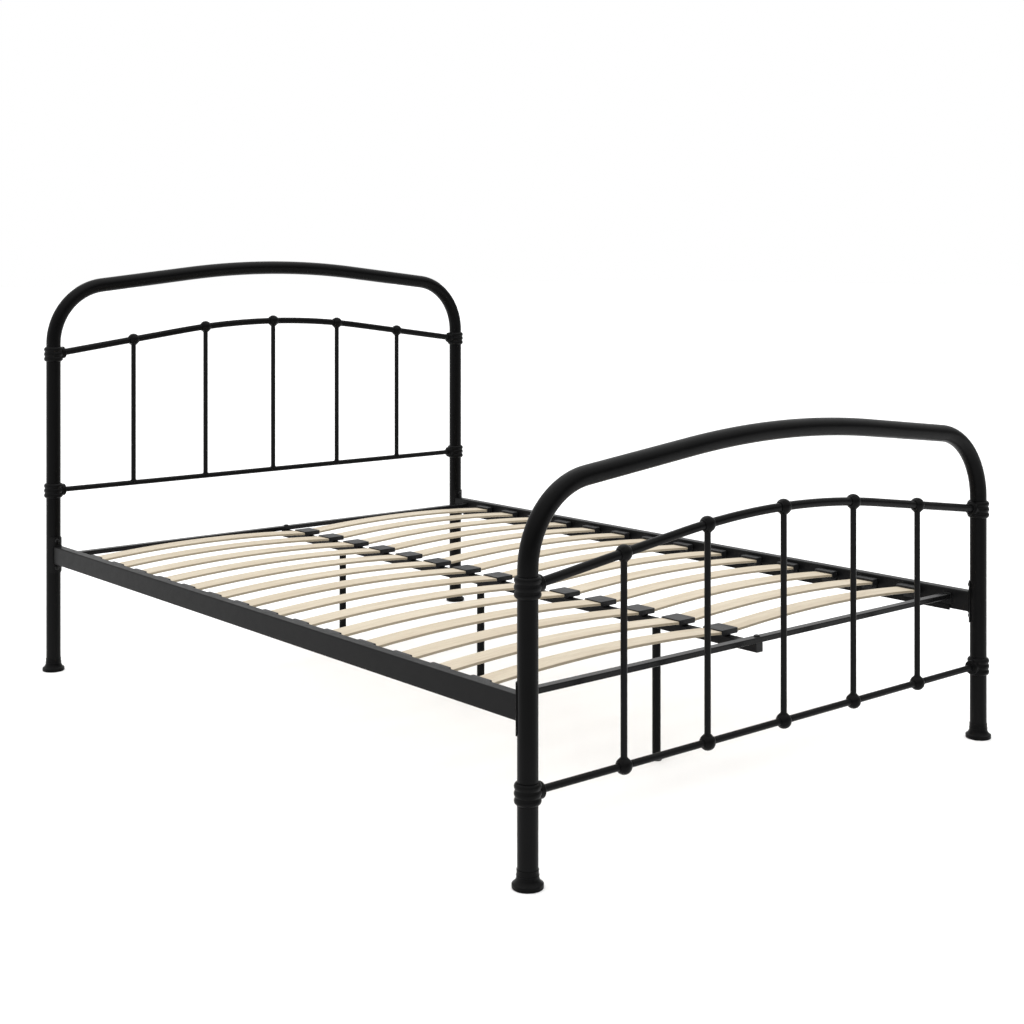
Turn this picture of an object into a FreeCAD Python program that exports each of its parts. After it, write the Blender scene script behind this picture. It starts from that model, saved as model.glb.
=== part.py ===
"""Metal bed frame: tubular headboard and footboard, box-tube side rails, a centre rail on three
legs and two rows of bowed wooden slats in plastic holders. Millimetres. +X is to the right seen
from the foot, +Y runs from the foot to the head, +Z is up, and the origin is on the floor at the
middle of the four posts."""

import FreeCAD, Part
import math
import os

os.makedirs("parts", exist_ok=True)

V = FreeCAD.Vector
UP = V(0, 0, 1)

# ---- driving dimensions -------------------------------------------------------------------
gap = 0.15               # air left between a casting and the tube that it holds
past = 2.0               # how far a cutting tool runs past the metal

post_x = 690.0           # post axes from the middle of the bed, across
post_y = 982.0           # post axes from the middle of the bed, along
post_r = 19.0            # outside of the tube that makes the posts and the hoop
post_wall = 1.5

head_apex = 1086.0       # axis of the head hoop at its crown
foot_apex = 762.0        # axis of the foot hoop at its crown
hoop_crown_r = 2470.0    # gentle curve over the middle of each hoop
hoop_crown_half = 279.0  # half width of that curve
hoop_shoulder_r = 159.0  # bend from the sloping top down into the post

arch_r = 9.0             # arched upper rail of each board
arch_wall = 1.2
arch_drop = 158.0        # arched rail's crown under the hoop's crown
arch_crown_r = 2237.0
arch_crown_half = 304.0
sill_r = 7.0             # straight lower rail of each board
sill_wall = 1.0
head_sill_z = 486.0
foot_sill_z = 166.8
spindle_r = 6.5
spindle_wall = 1.0
spindle_pitch = 227.0
spindle_places = (-2, -1, 0, 1, 2)
knob_r = 16.3            # ball casting where a spindle meets a rail

collar_bead_r = 24.8     # three beads cast around the post
collar_waist_r = 22.2
collar_bead_pitch = 13.2
collar_edge_r = 20.4
collar_half = 19.6
boss_r = 16.0            # disc on the collar that the rail enters
boss_reach = 31.5
boss_round = 2.5

foot_height = 34.0       # bell-shaped casting under each post
foot_rim_r = 28.8
foot_floor = 6.0         # solid metal under the end of the post
foot_rim_round = 2.2
foot_rim_top = 9.2       # top of the foot's rim, where the hollow cone starts
foot_rim_lip = 1.6
foot_cone_r = 23.2       # middle of the cone
foot_cone_z = 14.0
foot_neck_r = 20.4       # where the cone meets the sleeve
foot_neck_z = 22.0
foot_sleeve_r = 19.9

rail_out = 699.5         # side rail's outer face
rail_w = 25.0
rail_top = 337.5
rail_h = 47.0
rail_wall = 1.5
rail_corner = 3.0
strip_t = 3.0            # steel strip along the foot of the rail's inner face
strip_low = 287.3
strip_high = 299.0
strip_end = 916.0

saddle_t = 2.5           # curved plate that bolts the side rail to the post
saddle_low = 266.0
saddle_high = 362.0
saddle_half_angle = 62.0
saddle_corner = 9.0
bolt_r = 3.0
bolt_hole_r = 3.25
bolt_head_r = 6.0
bolt_head_h = 3.8
bolt_head_bulge = 0.7    # crown of the head beyond a straight cone
socket_flats = 4.0       # hexagon socket in the head
socket_depth = 2.0
socket_land_r = 2.7      # flat top around the socket
bolt_heights = (280.0, 352.0)
bolt_tip = 8.0           # end of the shank from the post's axis
nut_face = 16.4          # nut's outer face from the post's axis
nut_t = 5.0
nut_flats = 10.0
nut_play = 0.05

bar_y = 910.0            # crossbars, from the middle of the bed
bar_w = 20.0
bar_low = 314.2
bar_h = 12.0
bar_wall = 1.2
bar_corner = 2.0
tab_t = 2.2              # plate welded to each end of a crossbar
tab_w = 26.0
tab_reach = 4.0          # plate beyond the crossbar, on the bed's side
tab_corner = 3.0
tab_low = 300.0
tab_high = 328.0
bar_bolt_head_r = 7.0    # bolt through each crossbar into the centre rail
bar_bolt_head_h = 3.2
bar_bolt_grip = 6.0      # shank below the centre rail's upper wall

spine_half = 10.0        # square centre rail
spine_low = 294.0
spine_end = 918.0
spine_wall = 1.5
spine_corner = 2.0
plug_t = 2.0
plug_depth = 14.0
plug_corner = 0.8

leg_places = (-618.0, 0.0, 614.0)
leg_r = 9.5
leg_wall = 1.2
leg_low = 16.0
leg_cap = 2.5
stud_r = 4.0
stud_h = 12.0
insert_depth = 18.0      # threaded bung in the leg's lower end
insert_flange = 2.0
stem_r = 3.95            # glide's threaded stem
stem_bore_r = 4.0
stem_top = 36.0
glide_r = 12.0
glide_t = 4.5
glide_rim = 1.4
glide_hex_flats = 13.0
glide_hex_top = 8.0

slat_count = 14
slat_first_y = -808.0    # middle of the slat nearest the foot
slat_pitch = 123.4
slat_w = 53.0
slat_t = 6.0
slat_bow_r = 3947.0      # spring of the slat, seen from the foot
slat_crown_x = 330.0
slat_crown_z = 337.1     # top of the slat at its crown
slat_inner_x = 9.0       # slat's end inside the centre holder
slat_outer_x = 669.0     # slat's end inside the side holder
slat_play = 0.25

holder_half_w = 28.0     # plastic holders, along the bed
centre_holder_top = 328.2
centre_holder_half = 25.5
centre_holder_low = 316.8
neck_half_x = 9.5
neck_half_y = 22.0
neck_root = 1.0          # neck's hold in the cup
side_holder_in = 650.0
side_holder_low = 314.5
side_holder_top = 326.0
holder_back = 674.3      # outer face of the side holder's back plate
plate_inset = 6.0        # back plate narrower than the cup, on each side
plate_clear = 0.2        # back plate above the strip
plate_rise = 1.5         # back plate above the cup
plate_root = 1.0         # back plate's hold in the cup
holder_round = 3.0
peg_r = 4.0
peg_play = 0.2
peg_depth = 8.0
mouth = 20.0             # how far the slat's pocket is cut past the holder's mouth
side_peg_z = 307.0

# ---- sizes worked out from the above ------------------------------------------------------
rail_in = rail_out - rail_w
rail_low = rail_top - rail_h
spine_top = spine_low + 2 * spine_half
bar_high = bar_low + bar_h
arch_head_apex = head_apex - arch_drop
arch_foot_apex = foot_apex - arch_drop
slat_ys = [slat_first_y + slat_pitch * i for i in range(slat_count)]
corners = [(sx * post_x, sy * post_y) for sy in (-1, 1) for sx in (-1, 1)]


# ---- shape helpers ------------------------------------------------------------------------
def box(x0, x1, y0, y1, z0, z1):
    return Part.makeBox(x1 - x0, y1 - y0, z1 - z0, V(x0, y0, z0))


def rod(radius, start, end):
    along = end.sub(start)
    return Part.makeCylinder(radius, along.Length, start, along)


def mirror_x(shape):
    return shape.mirror(V(0, 0, 0), V(1, 0, 0))


def mirror_y(shape):
    return shape.mirror(V(0, 0, 0), V(0, 1, 0))


def cut_all(shape, tools):
    for tool in tools:
        shape = shape.cut(tool)
    return shape


def round_along(shape, direction, radius):
    """Fillet every straight edge that runs along the direction."""
    picked = []
    for edge in shape.Edges:
        ends = edge.Vertexes
        if len(ends) < 2 or not isinstance(edge.Curve, Part.Line):
            continue
        run = ends[1].Point.sub(ends[0].Point)
        if abs(run.dot(direction)) > 0.999 * run.Length:
            picked.append(edge)
    return shape.makeFillet(radius, picked)


def box_tube(x0, x1, y0, y1, z0, z1, direction, wall, corner):
    """Rectangular tube, open at both ends, with rounded long corners."""
    in_x = wall * (1 - abs(direction.x))
    in_y = wall * (1 - abs(direction.y))
    in_z = wall * (1 - abs(direction.z))
    outer = round_along(box(x0, x1, y0, y1, z0, z1), direction, corner)
    inner = box(x0 + in_x, x1 - in_x, y0 + in_y, y1 - in_y, z0 + in_z, z1 - in_z)
    inner = round_along(inner, direction, corner - wall if corner > wall + 0.3 else 0.5)
    return outer.cut(inner)


def sweep(edges, radius):
    """Round bar along a path of tangent lines and arcs."""
    first = edges[0]
    start = first.valueAt(first.FirstParameter)
    heading = first.tangentAt(first.FirstParameter)
    circle = Part.Wire([Part.makeCircle(radius, start, heading)])
    return Part.Wire(edges).makePipeShell([circle], True, True)


def revolve(edges, centre, direction):
    """Solid of revolution from a closed half outline."""
    face = Part.Face(Part.Wire(edges))
    return face.revolve(centre, direction, 360)


def line(a, b):
    return Part.makeLine(a, b)


def arc(a, middle, b):
    return Part.Arc(a, middle, b).toShape()


def outline(points):
    """Closed outline: each entry is a point, or a (middle, end) pair for an arc to the end."""
    edges = []
    here = points[0]
    for entry in points[1:] + [points[0]]:
        if isinstance(entry, tuple):
            edges.append(arc(here, entry[0], entry[1]))
            here = entry[1]
        else:
            edges.append(line(here, entry))
            here = entry
    return edges


def hexagon(flats, centre, direction, length):
    """Hexagonal prism along a direction in the YZ plane."""
    corner_r = flats / math.sqrt(3)
    across = V(1, 0, 0)
    other = direction.cross(across)
    points = []
    for k in range(6):
        angle = math.radians(60 * k)
        offset = V(across).multiply(corner_r * math.cos(angle))
        points.append(centre.add(offset).add(V(other).multiply(corner_r * math.sin(angle))))
    face = Part.Face(Part.makePolygon(points + [points[0]]))
    return face.extrude(V(direction).multiply(length))


def save(name, solids):
    for solid in solids:
        if not solid.isValid() or len(solid.Solids) != 1:
            raise ValueError(name + " is not one valid solid")
    shape = solids[0].Solids[0] if len(solids) == 1 else Part.makeCompound([s.Solids[0] for s in solids])
    shape.exportStep("parts/" + name + ".step")
    print(name, len(solids), round(sum(s.Volume for s in solids) / 1000.0, 1), "cm3")


# ---- headboard and footboard --------------------------------------------------------------
def crown_height(x, apex, crown_r, crown_half):
    """Height at x of a curve that is an arc over the middle and runs straight on from it."""
    slope = math.asin(crown_half / crown_r)
    if abs(x) <= crown_half:
        return apex - crown_r + math.sqrt(crown_r ** 2 - x ** 2)
    return apex - crown_r * (1 - math.cos(slope)) - (abs(x) - crown_half) * math.tan(slope)


def hoop_edges(y, apex):
    """Post, shoulder bend, slope, crown, slope, shoulder bend, post."""
    slope = math.asin(hoop_crown_half / hoop_crown_r)
    edge_z = crown_height(hoop_crown_half, apex, hoop_crown_r, hoop_crown_half)
    corner_z = crown_height(post_x, apex, hoop_crown_r, hoop_crown_half)
    reach = hoop_shoulder_r * math.tan((math.pi / 2 - slope) / 2)
    bend_z = corner_z - reach
    bend_x = post_x - reach * math.cos(slope)
    bend_top = corner_z + reach * math.sin(slope)
    middle = math.pi / 2 - (math.pi / 2 - slope) / 2
    mid_x = post_x - hoop_shoulder_r * (1 - math.sin(middle))
    mid_z = bend_z + hoop_shoulder_r * math.cos(middle)
    low = foot_floor + gap
    left = [
        line(V(-post_x, y, low), V(-post_x, y, bend_z)),
        arc(V(-post_x, y, bend_z), V(-mid_x, y, mid_z), V(-bend_x, y, bend_top)),
        line(V(-bend_x, y, bend_top), V(-hoop_crown_half, y, edge_z)),
    ]
    crown = arc(V(-hoop_crown_half, y, edge_z), V(0, y, apex), V(hoop_crown_half, y, edge_z))
    right = [
        line(V(hoop_crown_half, y, edge_z), V(bend_x, y, bend_top)),
        arc(V(bend_x, y, bend_top), V(mid_x, y, mid_z), V(post_x, y, bend_z)),
        line(V(post_x, y, bend_z), V(post_x, y, low)),
    ]
    return left + [crown] + right


def arch_height(x, apex):
    """Height of the arched rail's axis at x."""
    return crown_height(x, apex, arch_crown_r, arch_crown_half)


def arch_edges(y, apex):
    edge_z = arch_height(arch_crown_half, apex)
    end_z = arch_height(post_x, apex)
    return [
        line(V(-post_x, y, end_z), V(-arch_crown_half, y, edge_z)),
        arc(V(-arch_crown_half, y, edge_z), V(0, y, apex), V(arch_crown_half, y, edge_z)),
        line(V(arch_crown_half, y, edge_z), V(post_x, y, end_z)),
    ]


def make_hoop(y, apex):
    edges = hoop_edges(y, apex)
    tube = sweep(edges, post_r).cut(sweep(edges, post_r - post_wall))
    towards_bed = -math.copysign(1.0, y)
    for x in (-post_x, post_x):
        for z in bolt_heights:
            tube = tube.cut(rod(bolt_hole_r, V(x, y, z), V(x, y + towards_bed * 2 * post_r, z)))
    return tube


def post_cylinders(y, radius):
    return [rod(radius, V(x, y, 0), V(x, y, head_apex)) for x in (-post_x, post_x)]


def make_rail(edges, y, radius, wall):
    tube = sweep(edges, radius).cut(sweep(edges, radius - wall))
    return cut_all(tube, post_cylinders(y, post_r + gap))


def make_spindle(x, y, low, high, rails):
    bottom = V(x, y, low)
    top = V(x, y, high)
    tube = rod(spindle_r, bottom, top).cut(rod(spindle_r - spindle_wall, bottom, top))
    return cut_all(tube, rails)


def make_knob(x, y, z, other_z, rail):
    """Ball with a hole right through for the rail and one from the side for the spindle.

    The ball's poles face along the bed and its seam lies between the holes."""
    ball = Part.makeSphere(knob_r)
    ball.rotate(V(0, 0, 0), V(1, 0, 0), 90)
    ball.rotate(V(0, 0, 0), V(0, 1, 0), 45)
    ball.translate(V(x, y, z))
    socket = rod(spindle_r + gap, V(x, y, z), V(x, y, other_z))
    return cut_all(ball, [rail, socket])


def make_collar(x, y, z, rail):
    """Three cast beads around the post and a boss towards the bed's middle for the rail's end."""
    bore = post_r + gap
    half_bead = collar_bead_pitch / 2
    outer_low = z - collar_half
    outer_high = z + collar_half
    points = [V(bore, 0, outer_low), V(collar_edge_r, 0, outer_low)]
    points.append((V(collar_bead_r, 0, z - collar_bead_pitch), V(collar_waist_r, 0, z - half_bead)))
    points.append((V(collar_bead_r, 0, z), V(collar_waist_r, 0, z + half_bead)))
    points.append((V(collar_bead_r, 0, z + collar_bead_pitch), V(collar_edge_r, 0, outer_high)))
    points.append(V(bore, 0, outer_high))
    rings = revolve(outline(points), V(0, 0, 0), UP)
    corner = boss_round * (1 - math.sqrt(0.5))
    face_points = [V(0, 0, 0), V(0, 0, boss_r), V(boss_reach - boss_round, 0, boss_r)]
    face_points.append((V(boss_reach - corner, 0, boss_r - corner), V(boss_reach, 0, boss_r - boss_round)))
    face_points.append(V(boss_reach, 0, 0))
    boss = revolve(outline(face_points), V(0, 0, 0), V(1, 0, 0))
    if x > 0:
        boss = mirror_x(boss)
    rings.translate(V(x, y, 0))
    boss.translate(V(x, y, z))
    casting = rings.fuse(boss)
    post = rod(bore, V(x, y, z - 2 * collar_half), V(x, y, z + 2 * collar_half))
    return cut_all(casting, [post, rail])


def make_post_foot(x, y):
    """Bell foot with a rounded rim, a hollow cone and a thin sleeve around the post."""
    bore = post_r + gap
    corner = foot_rim_round * (1 - math.sqrt(0.5))
    lip_corner = foot_rim_lip * (1 - math.sqrt(0.5))
    lip_r = foot_rim_r - foot_rim_lip
    points = [V(0, 0, 0), V(foot_rim_r - foot_rim_round, 0, 0)]
    points.append((V(foot_rim_r - corner, 0, corner), V(foot_rim_r, 0, foot_rim_round)))
    points.append(V(foot_rim_r, 0, foot_rim_top - foot_rim_lip))
    points.append((V(foot_rim_r - lip_corner, 0, foot_rim_top - lip_corner), V(lip_r, 0, foot_rim_top)))
    points.append((V(foot_cone_r, 0, foot_cone_z), V(foot_neck_r, 0, foot_neck_z)))
    points.append(V(foot_sleeve_r, 0, foot_height))
    points.append(V(bore, 0, foot_height))
    points.append(V(bore, 0, foot_floor))
    points.append(V(0, 0, foot_floor))
    bell = revolve(outline(points), V(0, 0, 0), UP)
    bell.translate(V(x, y, 0))
    return bell


def make_board(name, y, apex, arch_apex, sill_z, sill_knobs):
    arch_path = arch_edges(y, arch_apex)
    sill_path = [line(V(-post_x, y, sill_z), V(post_x, y, sill_z))]
    arch_space = sweep(arch_path, arch_r + gap)
    sill_space = sweep(sill_path, sill_r + gap)
    end_z = arch_height(post_x, arch_apex)
    save(name + "_hoop", [make_hoop(y, apex)])
    save(name + "_upper_rail", [make_rail(arch_path, y, arch_r, arch_wall)])
    save(name + "_lower_rail", [make_rail(sill_path, y, sill_r, sill_wall)])
    spindles = []
    knobs = []
    for place in spindle_places:
        x = place * spindle_pitch
        z = arch_height(x, arch_apex)
        spindles.append(make_spindle(x, y, sill_z, z, [arch_space, sill_space]))
        knobs.append(make_knob(x, y, z, sill_z, arch_space))
        if sill_knobs:
            knobs.append(make_knob(x, y, sill_z, z, sill_space))
    save(name + "_spindles", spindles)
    save(name + "_knobs", knobs)
    collars = []
    for x in (-post_x, post_x):
        collars.append(make_collar(x, y, end_z, arch_space))
        collars.append(make_collar(x, y, sill_z, sill_space))
    save(name + "_collars", collars)


# ---- side rails, their saddles and bolts ---------------------------------------------------
def make_side_rail():
    """Right-hand rail: box tube with its ends hollowed to the saddles, and holes for the pegs."""
    along = V(0, 1, 0)
    tube = box_tube(rail_in, rail_out, -post_y, post_y, rail_low, rail_top, along, rail_wall, rail_corner)
    clear_r = post_r + gap + saddle_t + gap
    for sy in (-1, 1):
        post = V(post_x, sy * post_y, rail_low - past)
        tube = tube.cut(Part.makeCylinder(clear_r, rail_h + 2 * past, post))
    pieces = sorted(tube.Solids, key=lambda s: s.Volume)
    tube = pieces[-1]
    for y in slat_ys:
        start = V(rail_in - past, y, side_peg_z)
        tube = tube.cut(rod(peg_r + peg_play, start, start.add(V(rail_wall + 2 * past, 0, 0))))
    return tube


def make_saddle(x, y):
    """Curved plate against the bed side of a post, with a bolt hole above and below the rail."""
    inner_r = post_r + gap
    outer_r = inner_r + saddle_t
    side = -math.copysign(1.0, y)
    middle = 90.0 * side
    start = middle - saddle_half_angle
    height = saddle_high - saddle_low
    centre = V(x, y, saddle_low)
    wedge = Part.makeCylinder(outer_r, height, centre, UP, 2 * saddle_half_angle)
    wedge.rotate(centre, UP, start)
    plate = wedge.cut(Part.makeCylinder(inner_r, height, centre, UP))
    ends = [e for e in plate.Edges if abs(e.Length - saddle_t) < 0.01]
    plate = plate.makeFillet(saddle_corner, ends)
    for z in bolt_heights:
        plate = plate.cut(rod(bolt_hole_r, V(x, y, z), V(x, y + side * 2 * outer_r, z)))
    return plate


def make_button(head_r, head_h, shank_length):
    """Button-head bolt with a hexagon socket: the head's flat side is at height 0, the shank below."""
    rim = V(head_r, 0, 0)
    land = V(socket_land_r, 0, head_h)
    outwards = V(head_h, 0, head_r - socket_land_r).normalize().multiply(bolt_head_bulge)
    crown = rim.add(land).multiply(0.5).add(outwards)
    points = [V(0, 0, -shank_length), V(bolt_r, 0, -shank_length), V(bolt_r, 0, 0), rim]
    points.append((crown, land))
    points.append(V(0, 0, head_h))
    bolt = revolve(outline(points), V(0, 0, 0), UP)
    return bolt.cut(hexagon(socket_flats, V(0, 0, head_h - socket_depth), UP, socket_depth + past))


def make_rail_bolt(x, y, z):
    side = -math.copysign(1.0, y)
    seat = post_r + gap + saddle_t + gap
    bolt = make_button(bolt_head_r, bolt_head_h, seat - bolt_tip)
    bolt.rotate(V(0, 0, 0), V(1, 0, 0), -90.0 * side)
    bolt.translate(V(x, y + side * seat, z))
    return bolt


def make_rail_nut(x, y, z):
    side = -math.copysign(1.0, y)
    inward = V(0, -side, 0)
    nut = hexagon(nut_flats, V(x, y + side * nut_face, z), inward, nut_t)
    return nut.cut(rod(bolt_r + nut_play, V(x, y, z), V(x, y + side * post_r, z)))


def make_strip():
    return box(rail_in - gap - strip_t, rail_in - gap, -strip_end, strip_end, strip_low, strip_high)


# ---- crossbars, centre rail and legs -------------------------------------------------------
def make_crossbar(sy):
    """Box tube across the bed with a plate on each end, drilled for the bolt at its middle."""
    end_x = rail_in - gap
    y0 = bar_y - bar_w / 2
    y1 = bar_y + bar_w / 2
    bar = box_tube(-end_x, end_x, y0, y1, bar_low, bar_high, V(1, 0, 0), bar_wall, bar_corner)
    for sx in (-1, 1):
        x0, x1 = sorted((sx * end_x, sx * (end_x - tab_t)))
        tab = box(x0, x1, y0 - tab_reach, y0 - tab_reach + tab_w, tab_low, tab_high)
        bar = bar.fuse(round_along(tab, V(1, 0, 0), tab_corner))
    bar = bar.cut(rod(bolt_hole_r, V(0, bar_y, bar_low - past), V(0, bar_y, bar_high + past)))
    return mirror_y(bar) if sy < 0 else bar


def make_crossbar_bolt(sy):
    bolt = make_button(bar_bolt_head_r, bar_bolt_head_h, bar_h + spine_wall + bar_bolt_grip)
    bolt.translate(V(0, sy * bar_y, bar_high + gap))
    return bolt


def make_spine():
    """Centre rail with holes for the holders' pegs, the crossbars' bolts and the legs' studs."""
    reach = spine_end - plug_t - gap
    half = spine_half
    along = V(0, 1, 0)
    tube = box_tube(-half, half, -reach, reach, spine_low, spine_top, along, spine_wall, spine_corner)
    over = spine_top + past
    inside = spine_top - spine_wall - past
    holes = [rod(peg_r + peg_play, V(0, y, inside), V(0, y, over)) for y in slat_ys]
    holes += [rod(bolt_hole_r, V(0, sy * bar_y, inside), V(0, sy * bar_y, over)) for sy in (-1, 1)]
    under = spine_low - past
    floor = spine_low + spine_wall + past
    holes += [rod(stud_r + peg_play, V(0, y, under), V(0, y, floor)) for y in leg_places]
    return cut_all(tube, holes)


def make_plug(sy):
    """Plastic cap on an end of the centre rail: its spigot in the tube is pinned by the crossbar's bolt."""
    half = spine_half
    fit = half - spine_wall - gap
    y_in = spine_end - plug_t
    cap = round_along(box(-half, half, y_in, spine_end, spine_low, spine_top), V(0, 1, 0), spine_corner)
    middle_z = spine_low + half
    spigot = box(-fit, fit, y_in - plug_depth, y_in, middle_z - fit, middle_z + fit)
    spigot = round_along(spigot, V(0, 1, 0), plug_corner)
    bolt_way = rod(bolt_hole_r, V(0, bar_y, middle_z), V(0, bar_y, spine_top))
    plug = cap.fuse(spigot).cut(bolt_way)
    return mirror_y(plug) if sy < 0 else plug


def make_leg(y):
    """Tube closed at the top by a cap with a stud that enters the centre rail."""
    top = spine_low - gap
    tube = rod(leg_r, V(0, y, leg_low), V(0, y, top))
    tube = tube.cut(rod(leg_r - leg_wall, V(0, y, leg_low), V(0, y, top - leg_cap)))
    return tube.fuse(rod(stud_r, V(0, y, top - leg_cap), V(0, y, top + stud_h)))


def make_insert(y):
    flange_low = leg_low - gap - insert_flange
    flange = rod(leg_r, V(0, y, flange_low), V(0, y, leg_low - gap))
    spigot = rod(leg_r - leg_wall - gap, V(0, y, flange_low), V(0, y, leg_low + insert_depth))
    bung = flange.fuse(spigot)
    return bung.cut(rod(stem_bore_r, V(0, y, flange_low - past), V(0, y, leg_low + insert_depth + past)))


def make_glide(y):
    """Levelling foot: pad on the floor, hexagon for the fingers, threaded stem up into the leg."""
    rim = glide_rim
    corner = rim * (1 - math.sqrt(0.5))
    points = [V(0, 0, 0), V(glide_r - rim, 0, 0)]
    points.append((V(glide_r - corner, 0, corner), V(glide_r, 0, rim)))
    points.append(V(glide_r, 0, glide_t - rim))
    points.append((V(glide_r - corner, 0, glide_t - corner), V(glide_r - rim, 0, glide_t)))
    points.append(V(stem_r, 0, glide_t))
    points.append(V(stem_r, 0, stem_top))
    points.append(V(0, 0, stem_top))
    pad = revolve(outline(points), V(0, 0, 0), UP)
    nut = hexagon(glide_hex_flats, V(0, 0, glide_t), UP, glide_hex_top - glide_t)
    glide = pad.fuse(nut)
    glide.translate(V(0, y, 0))
    return glide


# ---- slats and their holders ---------------------------------------------------------------
def slat_blank(x0, x1, play):
    """Bowed board around the middle of the bed's length, from x0 to x1, thicker by the play."""
    centre_z = slat_crown_z - slat_bow_r

    def height(x, radius):
        return centre_z + math.sqrt(radius ** 2 - (x - slat_crown_x) ** 2)

    outer = slat_bow_r + play
    inner = slat_bow_r - slat_t - play
    mid = (x0 + x1) / 2
    half = slat_w / 2 + play
    points = [V(x0, -half, height(x0, outer))]
    points.append((V(mid, -half, height(mid, outer)), V(x1, -half, height(x1, outer))))
    points.append(V(x1, -half, height(x1, inner)))
    points.append((V(mid, -half, height(mid, inner)), V(x0, -half, height(x0, inner))))
    face = Part.Face(Part.Wire(outline(points)))
    return face.extrude(V(0, 2 * half, 0))


def make_side_holder():
    """Cup for a slat's outer end, on a back plate that stands on the strip and plugs into the rail."""
    back = rail_in - gap - strip_t
    half = holder_half_w
    block = box(side_holder_in, back, -half, half, side_holder_low, side_holder_top)
    cup = round_along(block, UP, holder_round)
    plate_half = half - plate_inset
    plate_low = strip_high + plate_clear
    plate_high = side_holder_top + plate_rise
    plate = box(back - plate_root, holder_back, -plate_half, plate_half, plate_low, plate_high)
    peg = rod(peg_r, V(back, 0, side_peg_z), V(holder_back + peg_depth, 0, side_peg_z))
    pocket = slat_blank(side_holder_in - mouth, slat_outer_x + slat_play, slat_play)
    return cup.fuse(plate).fuse(peg).cut(pocket)


def make_centre_holder():
    """Back-to-back cups for two slats, on a neck and a peg in the top of the centre rail."""
    half_x = centre_holder_half
    half_y = holder_half_w
    block = box(-half_x, half_x, -half_y, half_y, centre_holder_low, centre_holder_top)
    cup = round_along(block, UP, holder_round)
    neck_top = centre_holder_low + neck_root
    neck = box(-neck_half_x, neck_half_x, -neck_half_y, neck_half_y, spine_top + gap, neck_top)
    peg = rod(peg_r, V(0, 0, spine_top - spine_wall - peg_depth), V(0, 0, neck_top))
    pocket = slat_blank(slat_inner_x - slat_play, half_x + mouth, slat_play)
    return cut_all(cup.fuse(neck).fuse(peg), [pocket, mirror_x(pocket)])


def along_bed(shape):
    """Copies of the shape at every slat."""
    copies = []
    for y in slat_ys:
        copy = shape.copy()
        copy.translate(V(0, y, 0))
        copies.append(copy)
    return copies


# ---- write every sub-part ------------------------------------------------------------------
make_board("headboard", post_y, head_apex, arch_head_apex, head_sill_z, False)
make_board("footboard", -post_y, foot_apex, arch_foot_apex, foot_sill_z, True)
save("post_feet", [make_post_foot(x, y) for x, y in corners])

right_rail = make_side_rail()
save("side_rail_right", [right_rail])
save("side_rail_left", [mirror_x(right_rail)])
right_strip = make_strip()
save("rail_strips", [right_strip, mirror_x(right_strip)])
save("rail_saddles", [make_saddle(x, y) for x, y in corners])
save("rail_bolts", [make_rail_bolt(x, y, z) for x, y in corners for z in bolt_heights])
save("rail_nuts", [make_rail_nut(x, y, z) for x, y in corners for z in bolt_heights])

save("head_crossbar", [make_crossbar(1)])
save("foot_crossbar", [make_crossbar(-1)])
save("crossbar_bolts", [make_crossbar_bolt(sy) for sy in (-1, 1)])
save("centre_rail", [make_spine()])
save("centre_rail_plugs", [make_plug(sy) for sy in (-1, 1)])
save("centre_legs", [make_leg(y) for y in leg_places])
save("leg_inserts", [make_insert(y) for y in leg_places])
for place, y in zip(("foot", "middle", "head"), leg_places):
    save("glide_" + place, [make_glide(y)])

side_holder = make_side_holder()
save("slat_holders_right", along_bed(side_holder))
save("slat_holders_left", along_bed(mirror_x(side_holder)))
save("slat_holders_centre", along_bed(make_centre_holder()))

slat = slat_blank(slat_inner_x, slat_outer_x, 0)
for number, right in enumerate(along_bed(slat), 1):
    save("slat_right_%02d" % number, [right])
for number, left in enumerate(along_bed(mirror_x(slat)), 1):
    save("slat_left_%02d" % number, [left])
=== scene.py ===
"""Looks of the metal bed frame: powder-coated tube and castings, moulded holders and birch slats.

Metres, +X to the right seen from the foot, +Y from the foot to the head, +Z up. Every piece takes its
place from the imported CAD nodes. The sizes named below are those of details that a node's box doesn't give.
"""

import math

import bmesh
import bpy
from mathutils import Matrix, Vector, noise


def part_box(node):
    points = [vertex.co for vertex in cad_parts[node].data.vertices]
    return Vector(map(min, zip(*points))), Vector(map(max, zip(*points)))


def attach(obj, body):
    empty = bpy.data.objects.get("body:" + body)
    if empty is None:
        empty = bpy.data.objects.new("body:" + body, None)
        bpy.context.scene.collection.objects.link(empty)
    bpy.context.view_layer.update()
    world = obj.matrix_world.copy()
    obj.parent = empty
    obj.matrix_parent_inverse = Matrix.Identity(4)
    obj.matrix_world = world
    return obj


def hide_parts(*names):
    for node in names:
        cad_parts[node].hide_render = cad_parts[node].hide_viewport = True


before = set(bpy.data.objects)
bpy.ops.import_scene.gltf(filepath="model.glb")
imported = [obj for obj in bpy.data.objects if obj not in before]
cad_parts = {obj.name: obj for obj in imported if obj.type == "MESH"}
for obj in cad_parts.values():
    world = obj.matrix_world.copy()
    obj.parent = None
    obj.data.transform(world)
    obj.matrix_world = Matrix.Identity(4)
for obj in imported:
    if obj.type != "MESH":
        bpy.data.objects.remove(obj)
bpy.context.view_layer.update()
scene = bpy.context.scene

# ---- camera
CAMERA_PLACE = (-2.5289, -3.1165, 1.1045)
CAMERA_YAW = -40.18  # degrees, level camera
CAMERA_LENS = 56.16
CAMERA_SHIFT = -0.2447
CAMERA_FAR = 200

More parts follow.
